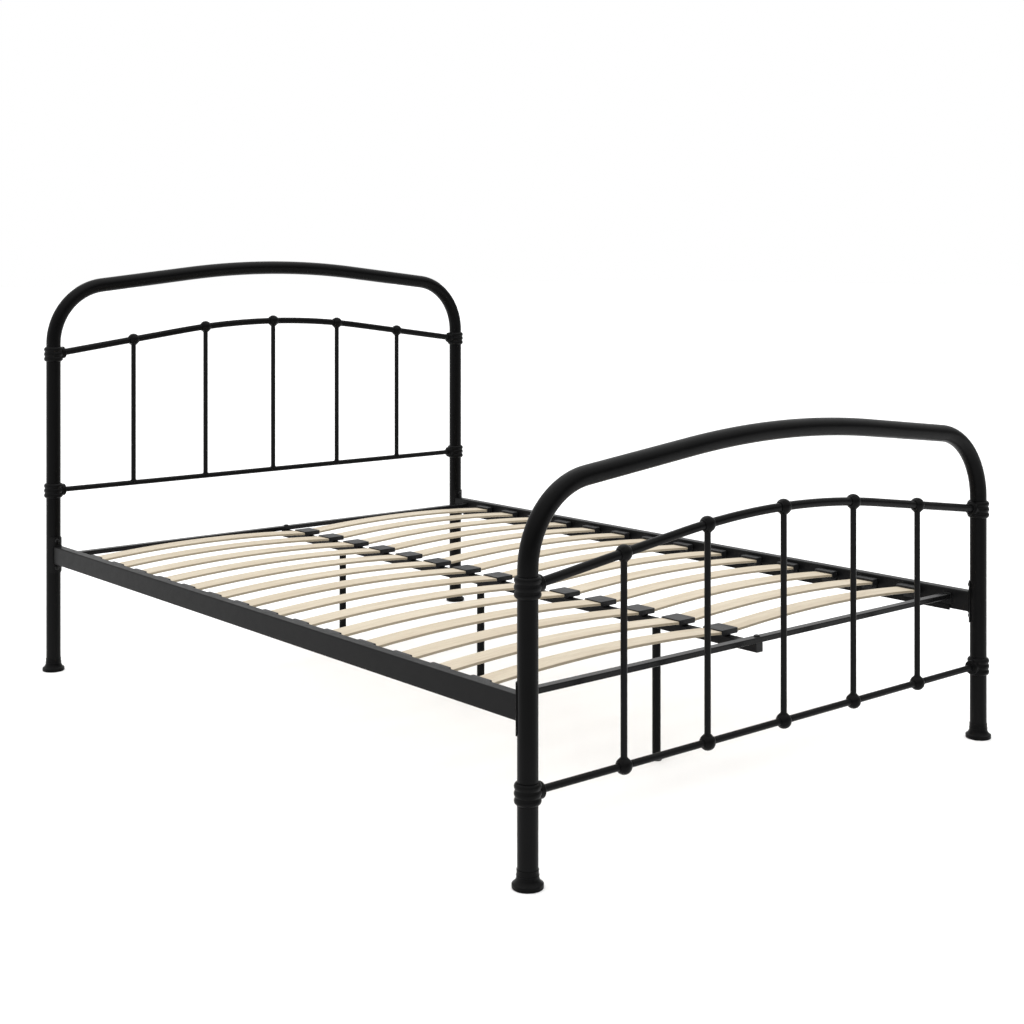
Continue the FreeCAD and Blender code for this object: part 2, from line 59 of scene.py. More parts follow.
camera = bpy.data.objects.new("camera", bpy.data.cameras.new("camera"))
scene.collection.objects.link(camera)
scene.camera = camera
camera.location = CAMERA_PLACE
camera.rotation_euler = (math.radians(90), 0, math.radians(CAMERA_YAW))
camera.data.lens = CAMERA_LENS
camera.data.shift_y = CAMERA_SHIFT
camera.data.clip_end = CAMERA_FAR

# ---- shared sizes
MM = 0.001
GAP = 0.2 * MM  # air between a casting and the tube in it
WELD_GAP = 0.15 * MM  # between two CAD solids that a weld joins
TUBE_SIDES = 64
THIN_SIDES = 40


# ---- node helpers
def node(tree, kind, inputs=(), **settings):
    made = tree.nodes.new(kind)
    for key, value in settings.items():
        setattr(made, key, value)
    for key, value in dict(inputs).items():
        if isinstance(value, bpy.types.NodeSocket):
            tree.links.new(value, made.inputs[key])
        else:
            made.inputs[key].default_value = value
    return made


def object_noise(tree, place, scale, detail=3.0, roughness=0.5, stretch=(1, 1, 1)):
    """Noise in the bed's own metres, stretched along an axis where a number in stretch is small."""
    mapping = node(tree, "ShaderNodeMapping", {"Vector": place, "Scale": stretch})
    made = node(tree, "ShaderNodeTexNoise", {
        "Vector": mapping.outputs["Vector"], "Scale": scale, "Detail": detail, "Roughness": roughness})
    return made.outputs["Fac"]


def spread(tree, value, low, high, out_low, out_high):
    made = node(tree, "ShaderNodeMapRange", {
        "Value": value, "From Min": low, "From Max": high, "To Min": out_low, "To Max": out_high})
    return made.outputs["Result"]


def blend_colour(tree, share, first, second):
    made = node(tree, "ShaderNodeMix", {"Factor": share}, data_type="RGBA")
    for socket, colour in ((made.inputs[6], first), (made.inputs[7], second)):
        if isinstance(colour, bpy.types.NodeSocket):
            tree.links.new(colour, socket)
        else:
            socket.default_value = (*colour, 1)
    return made.outputs[2]


def blend_value(tree, share, first, second):
    """Mixes a socket's value with a number."""
    made = node(tree, "ShaderNodeMix", {"Factor": share}, data_type="FLOAT")
    tree.links.new(first, made.inputs[2])
    made.inputs[3].default_value = second
    return made.outputs[0]


def bump(tree, height, distance, under=None):
    inputs = {"Height": height, "Distance": distance, "Strength": 1.0}
    if under is not None:
        inputs["Normal"] = under
    return node(tree, "ShaderNodeBump", inputs).outputs["Normal"]


def new_material(name):
    made = bpy.data.materials.new(name)
    made.use_nodes = True
    return made, made.node_tree, made.node_tree.nodes["Principled BSDF"]


# ---- materials
# A scale is how many features of the noise there are in a metre, and a depth is in metres.
CLOUD_SCALE, SCUFF_SCALE = 9.0, 46.0
LUMPS_PER_GRAIN = 0.22
HIGHLIGHT_EDGE, HIGHLIGHT_FULL = 0.53, 0.60  # pointiness where the painted edge highlight starts and where it is full

PLASTIC_GRAIN_SCALE, PLASTIC_GRAIN_DEPTH = 1900.0, 0.00009
FLOW_SCALE = 38.0
FLOW_STRETCH = (1, 0.35, 1)

ZINC_DULL, ZINC_BRIGHT = (0.52, 0.52, 0.50), (0.68, 0.68, 0.66)
ZINC_SCALE, ZINC_DEPTH = 320.0, 0.00004

WOOD_PALE, WOOD_CREAM = (0.530, 0.465, 0.358), (0.470, 0.402, 0.296)
WOOD_FIGURE = (0.420, 0.346, 0.245)
WOOD_FIBRE = (0.345, 0.275, 0.185)
WOOD_PORE = (0.27, 0.195, 0.115)
# ply colours: the laminate's real plies, darkened further as painted shade on the edges that face away from
# the light
PLY_DARK_SHADED, PLY_PALE_SHADED = (0.250, 0.205, 0.140), (0.430, 0.370, 0.270)
TONE_SCALE, FIGURE_SCALE, FIBRE_SCALE, PORE_SCALE, PLY_SCALE = 1.7, 34.0, 620.0, 900.0, 290.0
FIBRE_DEPTH, PORE_DEPTH = 0.00005, 0.00006
EDGE_FROM, EDGE_TO = 0.0029, 0.0022  # distance from the board's middle plane: face grain, then plies, whose darker colour is partly painted shade


def coated_metal(name, colour, roughness, specular, peel_scale, peel_depth, cast_depth=0.0):
    """Satin powder coat: orange peel, faint cloudiness, and a painted highlight: a paler colour on sharp
    edges.
    """
    made, tree, shader = new_material(name)
    place = node(tree, "ShaderNodeTexCoord").outputs["Object"]
    cloud = object_noise(tree, place, CLOUD_SCALE, 4.0, 0.6)
    grit = object_noise(tree, place, peel_scale, 2.0, 0.55)
    scuffs = object_noise(tree, place, SCUFF_SCALE, 6.0, 0.75)
    paler = tuple(c * 1.6 + 0.0006 for c in colour)
    # paler colour for the painted edge highlight, standing in for light caught by sharp edges
    highlight_colour = tuple(c * 3.0 + 0.006 for c in colour)
    edges = node(tree, "ShaderNodeNewGeometry").outputs["Pointiness"]
    base = blend_colour(tree, spread(tree, cloud, 0.35, 0.7, 0.0, 0.6), colour, paler)
    # painted highlight: pointiness blends the paler colour onto sharp edges
    edge_highlight = spread(tree, edges, HIGHLIGHT_EDGE, HIGHLIGHT_FULL, 0.0, 0.55)
    tree.links.new(blend_colour(tree, edge_highlight, base, highlight_colour), shader.inputs["Base Color"])
    rough = spread(tree, scuffs, 0.3, 0.75, roughness - 0.06, roughness + 0.08)
    tree.links.new(rough, shader.inputs["Roughness"])
    shader.inputs["Specular IOR Level"].default_value = specular
    normal = bump(tree, grit, peel_depth)
    if cast_depth:
        lumps = object_noise(tree, place, peel_scale * LUMPS_PER_GRAIN, 3.0, 0.6)
        normal = bump(tree, lumps, cast_depth, under=normal)
    tree.links.new(normal, shader.inputs["Normal"])
    return made


def moulded_plastic(name, colour, roughness, specular):
    """Injection-moulded plastic with a fine spark-eroded grain and faint flow marks."""
    made, tree, shader = new_material(name)
    place = node(tree, "ShaderNodeTexCoord").outputs["Object"]
    grain = object_noise(tree, place, PLASTIC_GRAIN_SCALE, 2.0, 0.6)
    flow = object_noise(tree, place, FLOW_SCALE, 4.0, 0.65, FLOW_STRETCH)
    paler = tuple(c * 1.5 + 0.006 for c in colour)
    base = blend_colour(tree, spread(tree, flow, 0.35, 0.7, 0.0, 0.8), colour, paler)
    tree.links.new(base, shader.inputs["Base Color"])
    rough = spread(tree, flow, 0.3, 0.7, roughness - 0.05, roughness + 0.07)
    tree.links.new(rough, shader.inputs["Roughness"])
    shader.inputs["Specular IOR Level"].default_value = specular
    tree.links.new(bump(tree, grain, PLASTIC_GRAIN_DEPTH), shader.inputs["Normal"])
    return made


def zinc_plate(name):
    made, tree, shader = new_material(name)
    place = node(tree, "ShaderNodeTexCoord").outputs["Object"]
    cloud = object_noise(tree, place, ZINC_SCALE, 4.0, 0.6)
    tree.links.new(blend_colour(tree, cloud, ZINC_DULL, ZINC_BRIGHT), shader.inputs["Base Color"])
    tree.links.new(spread(tree, cloud, 0.3, 0.7, 0.28, 0.45), shader.inputs["Roughness"])
    shader.inputs["Metallic"].default_value = 1.0
    tree.links.new(bump(tree, cloud, ZINC_DEPTH), shader.inputs["Normal"])
    return made


def birch(name):
    """Lacquered birch laminate: long grain on the faces and thin plies along the edges, kept darker than the
    faces partly as painted shade.

    The board attribute holds the distance along the board, across it and through it, in metres."""
    made, tree, shader = new_material(name)
    board = node(tree, "ShaderNodeAttribute", attribute_name="board").outputs["Vector"]
    parts = node(tree, "ShaderNodeSeparateXYZ", {"Vector": board})
    figure = object_noise(tree, board, FIGURE_SCALE, 4.0, 0.55, (0.10, 1.0, 1.0))
    fibre = object_noise(tree, board, FIBRE_SCALE, 3.0, 0.6, (0.030, 1.0, 1.0))
    pores = object_noise(tree, board, PORE_SCALE, 2.0, 0.5, (0.045, 1.0, 1.0))
    tone = object_noise(tree, board, TONE_SCALE, 1.0, 0.5, (0.55, 1.0, 1.0))
    face = blend_colour(tree, spread(tree, tone, 0.35, 0.65, 0.0, 1.0), WOOD_PALE, WOOD_CREAM)
    face = blend_colour(tree, spread(tree, figure, 0.42, 0.68, 0.0, 0.75), face, WOOD_FIGURE)
    face = blend_colour(tree, spread(tree, fibre, 0.47, 0.70, 0.0, 0.55), face, WOOD_FIBRE)
    face = blend_colour(tree, spread(tree, pores, 0.63, 0.74, 0.0, 0.65), face, WOOD_PORE)
    ply = node(tree, "ShaderNodeTexWave", {
        "Vector": board, "Scale": PLY_SCALE, "Distortion": 0.6, "Detail": 2.0, "Detail Scale": 3.0},
        wave_type="BANDS", bands_direction="Z").outputs["Fac"]
    # edge colour: real ply bands, darker than the faces partly as painted shade
    plies_and_shade = blend_colour(tree, spread(tree, ply, 0.25, 0.9, 0.0, 0.75), PLY_DARK_SHADED, PLY_PALE_SHADED)
    depth = node(tree, "ShaderNodeMath", {0: parts.outputs["Z"]}, operation="ABSOLUTE").outputs[0]
    edge_plies_and_shade = spread(tree, depth, EDGE_FROM, EDGE_TO, 0.0, 1.0)
    tree.links.new(blend_colour(tree, edge_plies_and_shade, face, plies_and_shade), shader.inputs["Base Color"])
    tree.links.new(spread(tree, fibre, 0.3, 0.75, 0.42, 0.58), shader.inputs["Roughness"])
    shader.inputs["Specular IOR Level"].default_value = 0.35
    normal = bump(tree, pores, PORE_DEPTH, under=bump(tree, fibre, FIBRE_DEPTH))
    tree.links.new(normal, shader.inputs["Normal"])
    return made


BLACK = (0.0008, 0.0008, 0.0009)
COAT = coated_metal("satin_black_coat", BLACK, 0.36, 0.072, 760.0, 0.00008)
BAR_COAT = coated_metal("satin_black_bar", BLACK, 0.24, 0.110, 760.0, 0.00006)
CASTING = coated_metal("satin_black_casting", BLACK, 0.40, 0.082, 620.0, 0.00010, 0.00030)
BOLT = coated_metal("black_bolt", (0.0020, 0.0020, 0.0022), 0.30, 0.20, 1400.0, 0.00003)
HOLDER = moulded_plastic("holder_plastic", (0.0040, 0.0041, 0.0046), 0.46, 0.22)
GLIDE = moulded_plastic("glide_plastic", (0.0110, 0.0110, 0.0115), 0.42, 0.40)
ZINC = zinc_plate("zinc_plate")
BIRCH = birch("birch_laminate")


# ---- mesh helpers
WELD_SIDES = 10
WELD_RIPPLE, WELD_RIPPLE_TURN = 0.16, 2.1  # share of the bead's radius, radians from ring to ring
WELD_UNEVEN, WELD_UNEVEN_SCALE = 0.22, 260
WELD_END = 0.45  # size of an open bead's two ends
SKIN_SMOOTHING = 2
CUT_EDGE_ANGLE = 50  # degrees: sharper edges of a cut shape are rounded


def join_rings(bm, rings, closed=False):
    """Quads between neighbouring rings of vertices, from the last to the first too if closed."""
    pairs = list(zip(rings, rings[1:]))
    if closed:
        pairs.append((rings[-1], rings[0]))
    for low, high in pairs:
        count = len(low)
        for k in range(count):
            after = (k + 1) % count
            bm.faces.new((low[k], low[after], high[after], high[k]))


def cap(bm, ring):
    """Closes a ring with a fan around its middle."""
    centre = bm.verts.new(sum((v.co for v in ring), Vector()) / len(ring))
    for k in range(len(ring)):
        bm.faces.new((ring[k], ring[(k + 1) % len(ring)], centre))


def join_and_cap(bm, rings):
    join_rings(bm, rings)
    cap(bm, rings[0])
    cap(bm, rings[-1])


def circle(bm, centre, across, other, radius, sides):
    ring = []
    for k in range(sides):
        angle = 2 * math.pi * k / sides
        ring.append(bm.verts.new(centre + radius * (math.cos(angle) * across + math.sin(angle) * other)))
    return ring


def tube(bm, path, radius, sides):
    """Round bar along points in a plane of constant Y."""
    along = Vector((0, 1, 0))
    rings = []
    for i, point in enumerate(path):
        ahead = path[min(i + 1, len(path) - 1)] - path[max(i - 1, 0)]
        rings.append(circle(bm, point, along, ahead.normalized().cross(along), radius, sides))
    join_and_cap(bm, rings)


def frame_of(axis):
    """The axis at length 1, and two directions square to it."""
    axis = Vector(axis).normalized()
    side = Vector((0, 1, 0)) if abs(axis.y) < 0.9 else Vector((1, 0, 0))
    across = side.cross(axis).normalized()
    return axis, across, axis.cross(across)


def lathe(bm, profile, sides, origin, axis=(0, 0, 1), loop=False, ripple=None):
    """Turned shape from (radius, height) pairs. Unless it is a loop, its ends are closed.

    ripple gives the change of radius at a height and an angle."""
    axis, across, other = frame_of(axis)
    rings = []
    for radius, height in profile:
        ring = circle(bm, Vector(origin) + axis * height, across, other, radius, sides)
        if ripple:
            for k, vertex in enumerate(ring):
                out = (vertex.co - Vector(origin) - axis * height).normalized()
                vertex.co += out * ripple(height, 2 * math.pi * k / sides)
        rings.append(ring)
    if loop:
        join_rings(bm, rings, True)
    else:
        join_and_cap(bm, rings)


def arc_points(centre, radius, start, end, steps):
    """(radius, height) pairs on an arc, from one angle to another in degrees."""
    points = []
    for k in range(steps + 1):
        angle = math.radians(start + (end - start) * k / steps)
        points.append((centre[0] + radius * math.cos(angle), centre[1] + radius * math.sin(angle)))
    return points


def rounded_outline(half_u, half_v, radius, steps, spans=(1, 1)):
    """Points of a rounded rectangle, with its straight sides cut into spans."""
    corners = []
    for corner, (su, sv) in enumerate(((1, 1), (-1, 1), (-1, -1), (1, -1))):
        centre = Vector((su * (half_u - radius), sv * (half_v - radius)))
        turns = [math.pi / 2 * (corner + k / steps) for k in range(steps + 1)]
        corners.append([centre + radius * Vector((math.cos(t), math.sin(t))) for t in turns])
    points = []
    for corner in range(4):
        points += corners[corner]
        start, goal = corners[corner][-1], corners[(corner + 1) % 4][0]
        count = spans[corner % 2]
        points += [start.lerp(goal, k / count) for k in range(1, count)]
    return points


def bar(bm, low, high, along, radius, steps=4, end_round=0.0, spans=(1, 1)):
    """Bar between two corners of its box, with rounded long edges. Returns its rings.

    along is the number of its long axis, and end_round softens the edges of its ends."""
    u, v = ((1, 2), (2, 0), (0, 1))[along]
    centre = (Vector(low) + Vector(high)) / 2
    half = (Vector(high) - Vector(low)) / 2
    insets = [(0.0, 0.0)]
    if end_round:
        insets = [(0.0, end_round), (end_round * 0.3, end_round * 0.3), (end_round, 0.0)]
    stations = [(back - half[along], shrink) for back, shrink in insets]
    stations += [(half[along] - back, shrink) for back, shrink in reversed(insets)]
    rings = []
    for distance, shrink in stations:
        corner = max(radius - shrink, radius * 0.3)
        ring = []
        for pu, pv in rounded_outline(half[u] - shrink, half[v] - shrink, corner, steps, spans):
            point = Vector((0, 0, 0))
            point[along], point[u], point[v] = distance, pu, pv
            ring.append(bm.verts.new(centre + point))
        rings.append(ring)
    join_and_cap(bm, rings)
    return rings


def weld(bm, path, radius, closed, seed):
    """Bead of weld along a path: overlapping ripples of slightly uneven width."""
    count = len(path)
    rings = []
    across = None
    for i, point in enumerate(path):
        before = path[(i - 1) % count] if closed or i else path[0]
        after = path[(i + 1) % count] if closed or i < count - 1 else path[-1]
        axis = (after - before).normalized()
        across = (across - axis * across.dot(axis)).normalized() if across else frame_of(axis)[1]
        other = axis.cross(across)
        uneven = WELD_UNEVEN * noise.noise(point * WELD_UNEVEN_SCALE + Vector((seed, 0, 0)))
        size = radius * (1 + WELD_RIPPLE * math.sin(WELD_RIPPLE_TURN * i) + uneven)
        if not closed and i in (0, count - 1):
            size *= WELD_END
        rings.append(circle(bm, point, across, other, size, WELD_SIDES))
    if closed:
        join_rings(bm, rings, True)
    else:
        join_and_cap(bm, rings)


def spaced(points, step, closed=False):
    """Points along a polyline, a step apart."""
    points = [Vector(p) for p in points] + ([Vector(points[0])] if closed else [])
    made = []
    for start, end in zip(points, points[1:]):
        count = max(1, round((end - start).length / step))
        made += [start.lerp(end, k / count) for k in range(count)]
    return made if closed else made + [points[-1]]


def evaluated(piece):
    """The piece's mesh with its modifiers applied. The piece is removed."""
    graph = bpy.context.evaluated_depsgraph_get()
    mesh = bpy.data.meshes.new_from_object(piece.evaluated_get(graph))
    bpy.data.objects.remove(piece)
    return mesh


def mesh_of(bm, name):
    """Turns the shape into a mesh. The shape is used up."""
    mesh = bpy.data.meshes.new(name)
    bm.to_mesh(mesh)
    bm.free()
    return mesh


def linked_object(name, mesh):
    piece = bpy.data.objects.new(name, mesh)
    scene.collection.objects.link(piece)
    return piece


def loose_object(bm, name):
    bmesh.ops.recalc_face_normals(bm, faces=bm.faces)
    return linked_object(name, mesh_of(bm, name))


def cast_skin(bm, voxel):
    """One skin around overlapping shells, with the soft inside corners of a casting."""
    piece = loose_object(bm, "casting")
    remesh = piece.modifiers.new("skin", "REMESH")
    remesh.mode = "VOXEL"
    remesh.voxel_size = voxel
    smooth = piece.modifiers.new("smooth", "SMOOTH")
    smooth.factor = 0.5
    smooth.iterations = SKIN_SMOOTHING
    return evaluated(piece)


def cut_out(bm, cutter, edge):
    """The shape with the cutter's space taken out and its edges rounded."""
    piece = loose_object(bm, "body")
    tool = loose_object(cutter, "cutter")
    cut = piece.modifiers.new("cut", "BOOLEAN")
    cut.operation = "DIFFERENCE"
    cut.solver = "EXACT"
    cut.object = tool
    rounding = piece.modifiers.new("edges", "BEVEL")
    rounding.width = edge
    rounding.segments = 2
    rounding.limit_method = "ANGLE"
    rounding.angle_limit = math.radians(CUT_EDGE_ANGLE)
    mesh = evaluated(piece)
    bpy.data.objects.remove(tool)
    return mesh


def place_copies(bm, mesh, matrices):
    """Adds a copy of the mesh at each matrix, turned the right way out where the matrix mirrors it."""
    for matrix in matrices:
        copy = mesh.copy()
        copy.transform(matrix)
        if matrix.determinant() < 0:
            copy.flip_normals()
        bm.from_mesh(copy)
        bpy.data.meshes.remove(copy)


def add_piece(name, bm, paint, nodes, body="frame", sharp=38.0, turn_out=True):
    """Makes the piece, which stands for CAD nodes and rides on their body.

    Edges sharper than an angle in degrees stay sharp. turn_out is off where the faces already face out."""
    if turn_out:
        bmesh.ops.recalc_face_normals(bm, faces=bm.faces)
    mesh = mesh_of(bm, name)
    mesh.polygons.foreach_set("use_smooth", [True] * len(mesh.polygons))
    mesh.set_sharp_from_angle(angle=math.radians(sharp))
    mesh.materials.append(paint)
    piece = linked_object(name, mesh)
    weighted = piece.modifiers.new("weighted_normals", "WEIGHTED_NORMAL")
    weighted.keep_sharp = True
    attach(piece, body)
    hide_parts(*nodes)
    return piece


def add_tube(name, bm, nodes):
    add_piece(name, bm, COAT, nodes)


def add_castings(name, bm, nodes):
    add_piece(name, bm, CASTING, nodes, sharp=70.0, turn_out=False)


def add_holders(name, bm, nodes):
    add_piece(name, bm, HOLDER, nodes, sharp=40.0, turn_out=False)


def centre_and_half(name):
    low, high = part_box(name)
    return (low + high) / 2, (high - low) / 2


# ---- headboard and footboard
HOOP_CROWN_R = 2.470  # gentle curve over the middle of each hoop
HOOP_CROWN_HALF = 0.279
SHOULDER_R = 0.159
SHOULDER_STEPS = 28
ARCH_CROWN_R = 2.237  # the same for the arched rails
ARCH_CROWN_HALF = 0.304
CROWN_STEPS = 16
SPINDLES = 5
SPINDLE_IN_BALL = 2 * MM

RAIL_LIP_WALL = 1.9 * MM  # lips of a ball casting around its rail and its spindle
RAIL_LIP_PROUD = 1.7 * MM
RAIL_LIP_ROUND = 0.6 * MM
NECK_WALL = 1.7 * MM
NECK_PROUD = 1.6 * MM
NECK_ROUND = 0.5 * MM
NECK_ROOT = 0.75  # share of the ball's radius
BALL_VOXEL = 0.90 * MM

COLLAR_HALF = 19.6 * MM
COLLAR_EDGE_R = 20.4 * MM
COLLAR_BEAD_R = 24.8 * MM
COLLAR_WAIST_R = 21.9 * MM
COLLAR_PITCH = 13.2 * MM
COLLAR_VOXEL = 1.05 * MM
BEAD_STEPS = 8
BEAD_FULLNESS = 0.7  # below 1, the bead is rounder than a cosine
BOSS_R = 16.0 * MM
BOSS_START = 19.6 * MM
BOSS_REACH = 31.5 * MM
BOSS_ROUND = 2.5 * MM
BOSS_LIP_WALL = 2.0 * MM
BOSS_LIP_PROUD = 1.9 * MM
BOSS_LIP_ROUND = 0.7 * MM

FILLET_OUT = 0.5 * MM  # weld around a spindle's foot: its path outside the spindle
FILLET_UP = 0.3 * MM  # and above the rail
FILLET_R = 1.5 * MM
FILLET_STEPS = 28


def crown_slope(crown_r, crown_half):
    return math.asin(crown_half / crown_r)


def crown_height(x, apex, crown_r, crown_half):
    """Height at x of a curve that is an arc over the middle and runs straight on from it."""
    slope = crown_slope(crown_r, crown_half)
    if abs(x) <= crown_half:
        return apex - crown_r + math.sqrt(crown_r ** 2 - x ** 2)
    return apex - crown_r * (1 - math.cos(slope)) - (abs(x) - crown_half) * math.tan(slope)


def arch_height(x, apex):
    return crown_height(x, apex, ARCH_CROWN_R, ARCH_CROWN_HALF)


def both_halves(right, y):
    """Whole path, left to right, from the (x, z) points of its right half, which starts at the middle."""
    left = [(-x, z) for x, z in reversed(right)]
    return [Vector((x, y, z)) for x, z in left + right[1:]]


def crown_half_path(apex, crown_r, crown_half):
    slope = crown_slope(crown_r, crown_half)
    turns = [slope * k / CROWN_STEPS for k in range(CROWN_STEPS + 1)]
    return [(crown_r * math.sin(t), apex - crown_r * (1 - math.cos(t))) for t in turns]


def hoop_path(post_x, y, apex, low):
    slope = crown_slope(HOOP_CROWN_R, HOOP_CROWN_HALF)
    corner = crown_height(post_x, apex, HOOP_CROWN_R, HOOP_CROWN_HALF)
    bend_z = corner - SHOULDER_R * math.tan((math.pi / 2 - slope) / 2)
    points = crown_half_path(apex, HOOP_CROWN_R, HOOP_CROWN_HALF)
    for k in range(SHOULDER_STEPS + 1):
        turn = (math.pi / 2 - slope) * (1 - k / SHOULDER_STEPS)
        points.append((post_x - SHOULDER_R * (1 - math.cos(turn)), bend_z + SHOULDER_R * math.sin(turn)))
    points.append((post_x, (bend_z + low) / 2))
    points.append((post_x, low))
    return both_halves(points, y)


def ball_casting(ball_r, rail_r, slope, spindle_r, spindle_up):
    """Ball with a lip around the rail on each side and one around the spindle, at the origin."""
    bm = bmesh.new()
    bore = rail_r + GAP
    lip_r = rail_r + RAIL_LIP_WALL
    lip_end = math.sqrt(ball_r ** 2 - lip_r ** 2) + RAIL_LIP_PROUD
    limit = math.degrees(math.acos(lip_r / ball_r))
    profile = [(bore, -lip_end), (lip_r - RAIL_LIP_ROUND, -lip_end), (lip_r, RAIL_LIP_ROUND - lip_end)]
    profile += arc_points((0, 0), ball_r, -limit, limit, 20)
    profile += [(lip_r, lip_end - RAIL_LIP_ROUND), (lip_r - RAIL_LIP_ROUND, lip_end), (bore, lip_end)]
    lathe(bm, profile, 48, (0, 0, 0), (math.cos(slope), 0, math.sin(slope)), loop=True)
    hole = spindle_r + GAP
    neck_r = spindle_r + NECK_WALL
    neck_end = math.sqrt(ball_r ** 2 - neck_r ** 2) + NECK_PROUD
    neck = [(hole, ball_r * NECK_ROOT), (neck_r, ball_r * NECK_ROOT), (neck_r, neck_end - NECK_ROUND)]
    neck += [(neck_r - NECK_ROUND, neck_end), (hole, neck_end)]
    lathe(bm, neck, THIN_SIDES, (0, 0, 0), (0, 0, 1 if spindle_up else -1), loop=True)
    return cast_skin(bm, BALL_VOXEL)


def bead_profile():
    """Three beads around the post, from the collar's lower edge to its upper edge."""
    points = []
    edge_width = COLLAR_HALF - COLLAR_PITCH
    for place in (-1, 0, 1):
        for k in range(-BEAD_STEPS, BEAD_STEPS + 1):
            outer_edge = place * k > 0
            base = COLLAR_EDGE_R if outer_edge else COLLAR_WAIST_R
            width = edge_width if outer_edge else COLLAR_PITCH / 2
            share = k / BEAD_STEPS
            rise = max(math.cos(share * math.pi / 2), 0.0) ** BEAD_FULLNESS
            points.append((base + (COLLAR_BEAD_R - base) * rise, place * COLLAR_PITCH + share * width))
    return points


def collar_casting(rail_r, slope, bore):
    """Beaded collar around a post at the origin, with the rail's boss towards +X."""
    bm = bmesh.new()
    ring = [(bore, -COLLAR_HALF)] + bead_profile() + [(bore, COLLAR_HALF)]
    lathe(bm, ring, 72, (0, 0, 0), loop=True)
    hole = rail_r + GAP
    lip = rail_r + BOSS_LIP_WALL
    lip_end = BOSS_REACH + BOSS_LIP_PROUD
    face = [(hole, BOSS_START), (BOSS_R, BOSS_START)]
    face += arc_points((BOSS_R - BOSS_ROUND, BOSS_REACH - BOSS_ROUND), BOSS_ROUND, 0, 90, 8)
    face += [(lip, BOSS_REACH), (lip, lip_end - BOSS_LIP_ROUND), (lip - BOSS_LIP_ROUND, lip_end)]
    face += [(hole, lip_end)]
    lathe(bm, face, 56, (0, 0, 0), (math.cos(slope), 0, math.sin(slope)), loop=True)
    return cast_skin(bm, COLLAR_VOXEL)


def spindle(bm, x, y, low, high, radius, saddle_r=None):
    """Upright bar. Where saddle_r is given, its lower end is cut to a rail of that radius at low."""
    rings = []
    for z in (low, high):
        ring = circle(bm, Vector((x, y, z)), Vector((1, 0, 0)), Vector((0, 1, 0)), radius, THIN_SIDES)
        if saddle_r and z == low:
            for vertex in ring:
                vertex.co.z += math.sqrt(max(saddle_r ** 2 - (vertex.co.y - y) ** 2, 0.0))
        rings.append(ring)
    join_and_cap(bm, rings)


def fillet_weld(bm, x, y, rail_z, radius, saddle_r, seed):
    """Weld around an upright's end on a round rail."""
    path = []
    out = radius + FILLET_OUT
    for k in range(FILLET_STEPS):
        turn = 2 * math.pi * k / FILLET_STEPS
        across = out * math.sin(turn)
        rise = math.sqrt(max((saddle_r + FILLET_UP) ** 2 - min(abs(across), saddle_r) ** 2, 0.0))
        path.append(Vector((x + out * math.cos(turn), y + across, rail_z + rise)))
    weld(bm, path, FILLET_R, True, seed)


def build_rods_and_balls(name, sill_balls, y, arch_apex, arch_r, sill_z, sill_r):
    """Spindles with a ball casting at each end, or with a weld at the lower end."""
    rod_half = centre_and_half(name + "_spindles")[1]
    rod_r = rod_half.y
    pitch = 2 * (rod_half.x - rod_r) / (SPINDLES - 1)
    ball_r = centre_and_half(name + "_knobs")[1].y
    slope = crown_slope(ARCH_CROWN_R, ARCH_CROWN_HALF)
    rods = bmesh.new()
    balls = bmesh.new()
    for place in range(SPINDLES):
        x = (place - (SPINDLES - 1) / 2) * pitch
        z = arch_height(x, arch_apex)
        tilt = -math.copysign(min(abs(math.asin(x / ARCH_CROWN_R)), slope), x)
        top = z - ball_r + SPINDLE_IN_BALL
        if sill_balls:
            spindle(rods, x, y, sill_z + ball_r - SPINDLE_IN_BALL, top, rod_r)
            mesh = ball_casting(ball_r, sill_r, 0.0, rod_r, True)
            place_copies(balls, mesh, [Matrix.Translation((x, y, sill_z))])
        else:
            spindle(rods, x, y, sill_z, top, rod_r, sill_r)
            fillet_weld(rods, x, y, sill_z, rod_r, sill_r, place)
        mesh = ball_casting(ball_r, arch_r, tilt, rod_r, False)
        place_copies(balls, mesh, [Matrix.Translation((x, y, z))])
    add_tube(name + "_spindle_bars", rods, [name + "_spindles"])
    add_castings(name + "_ball_castings", balls, [name + "_knobs"])


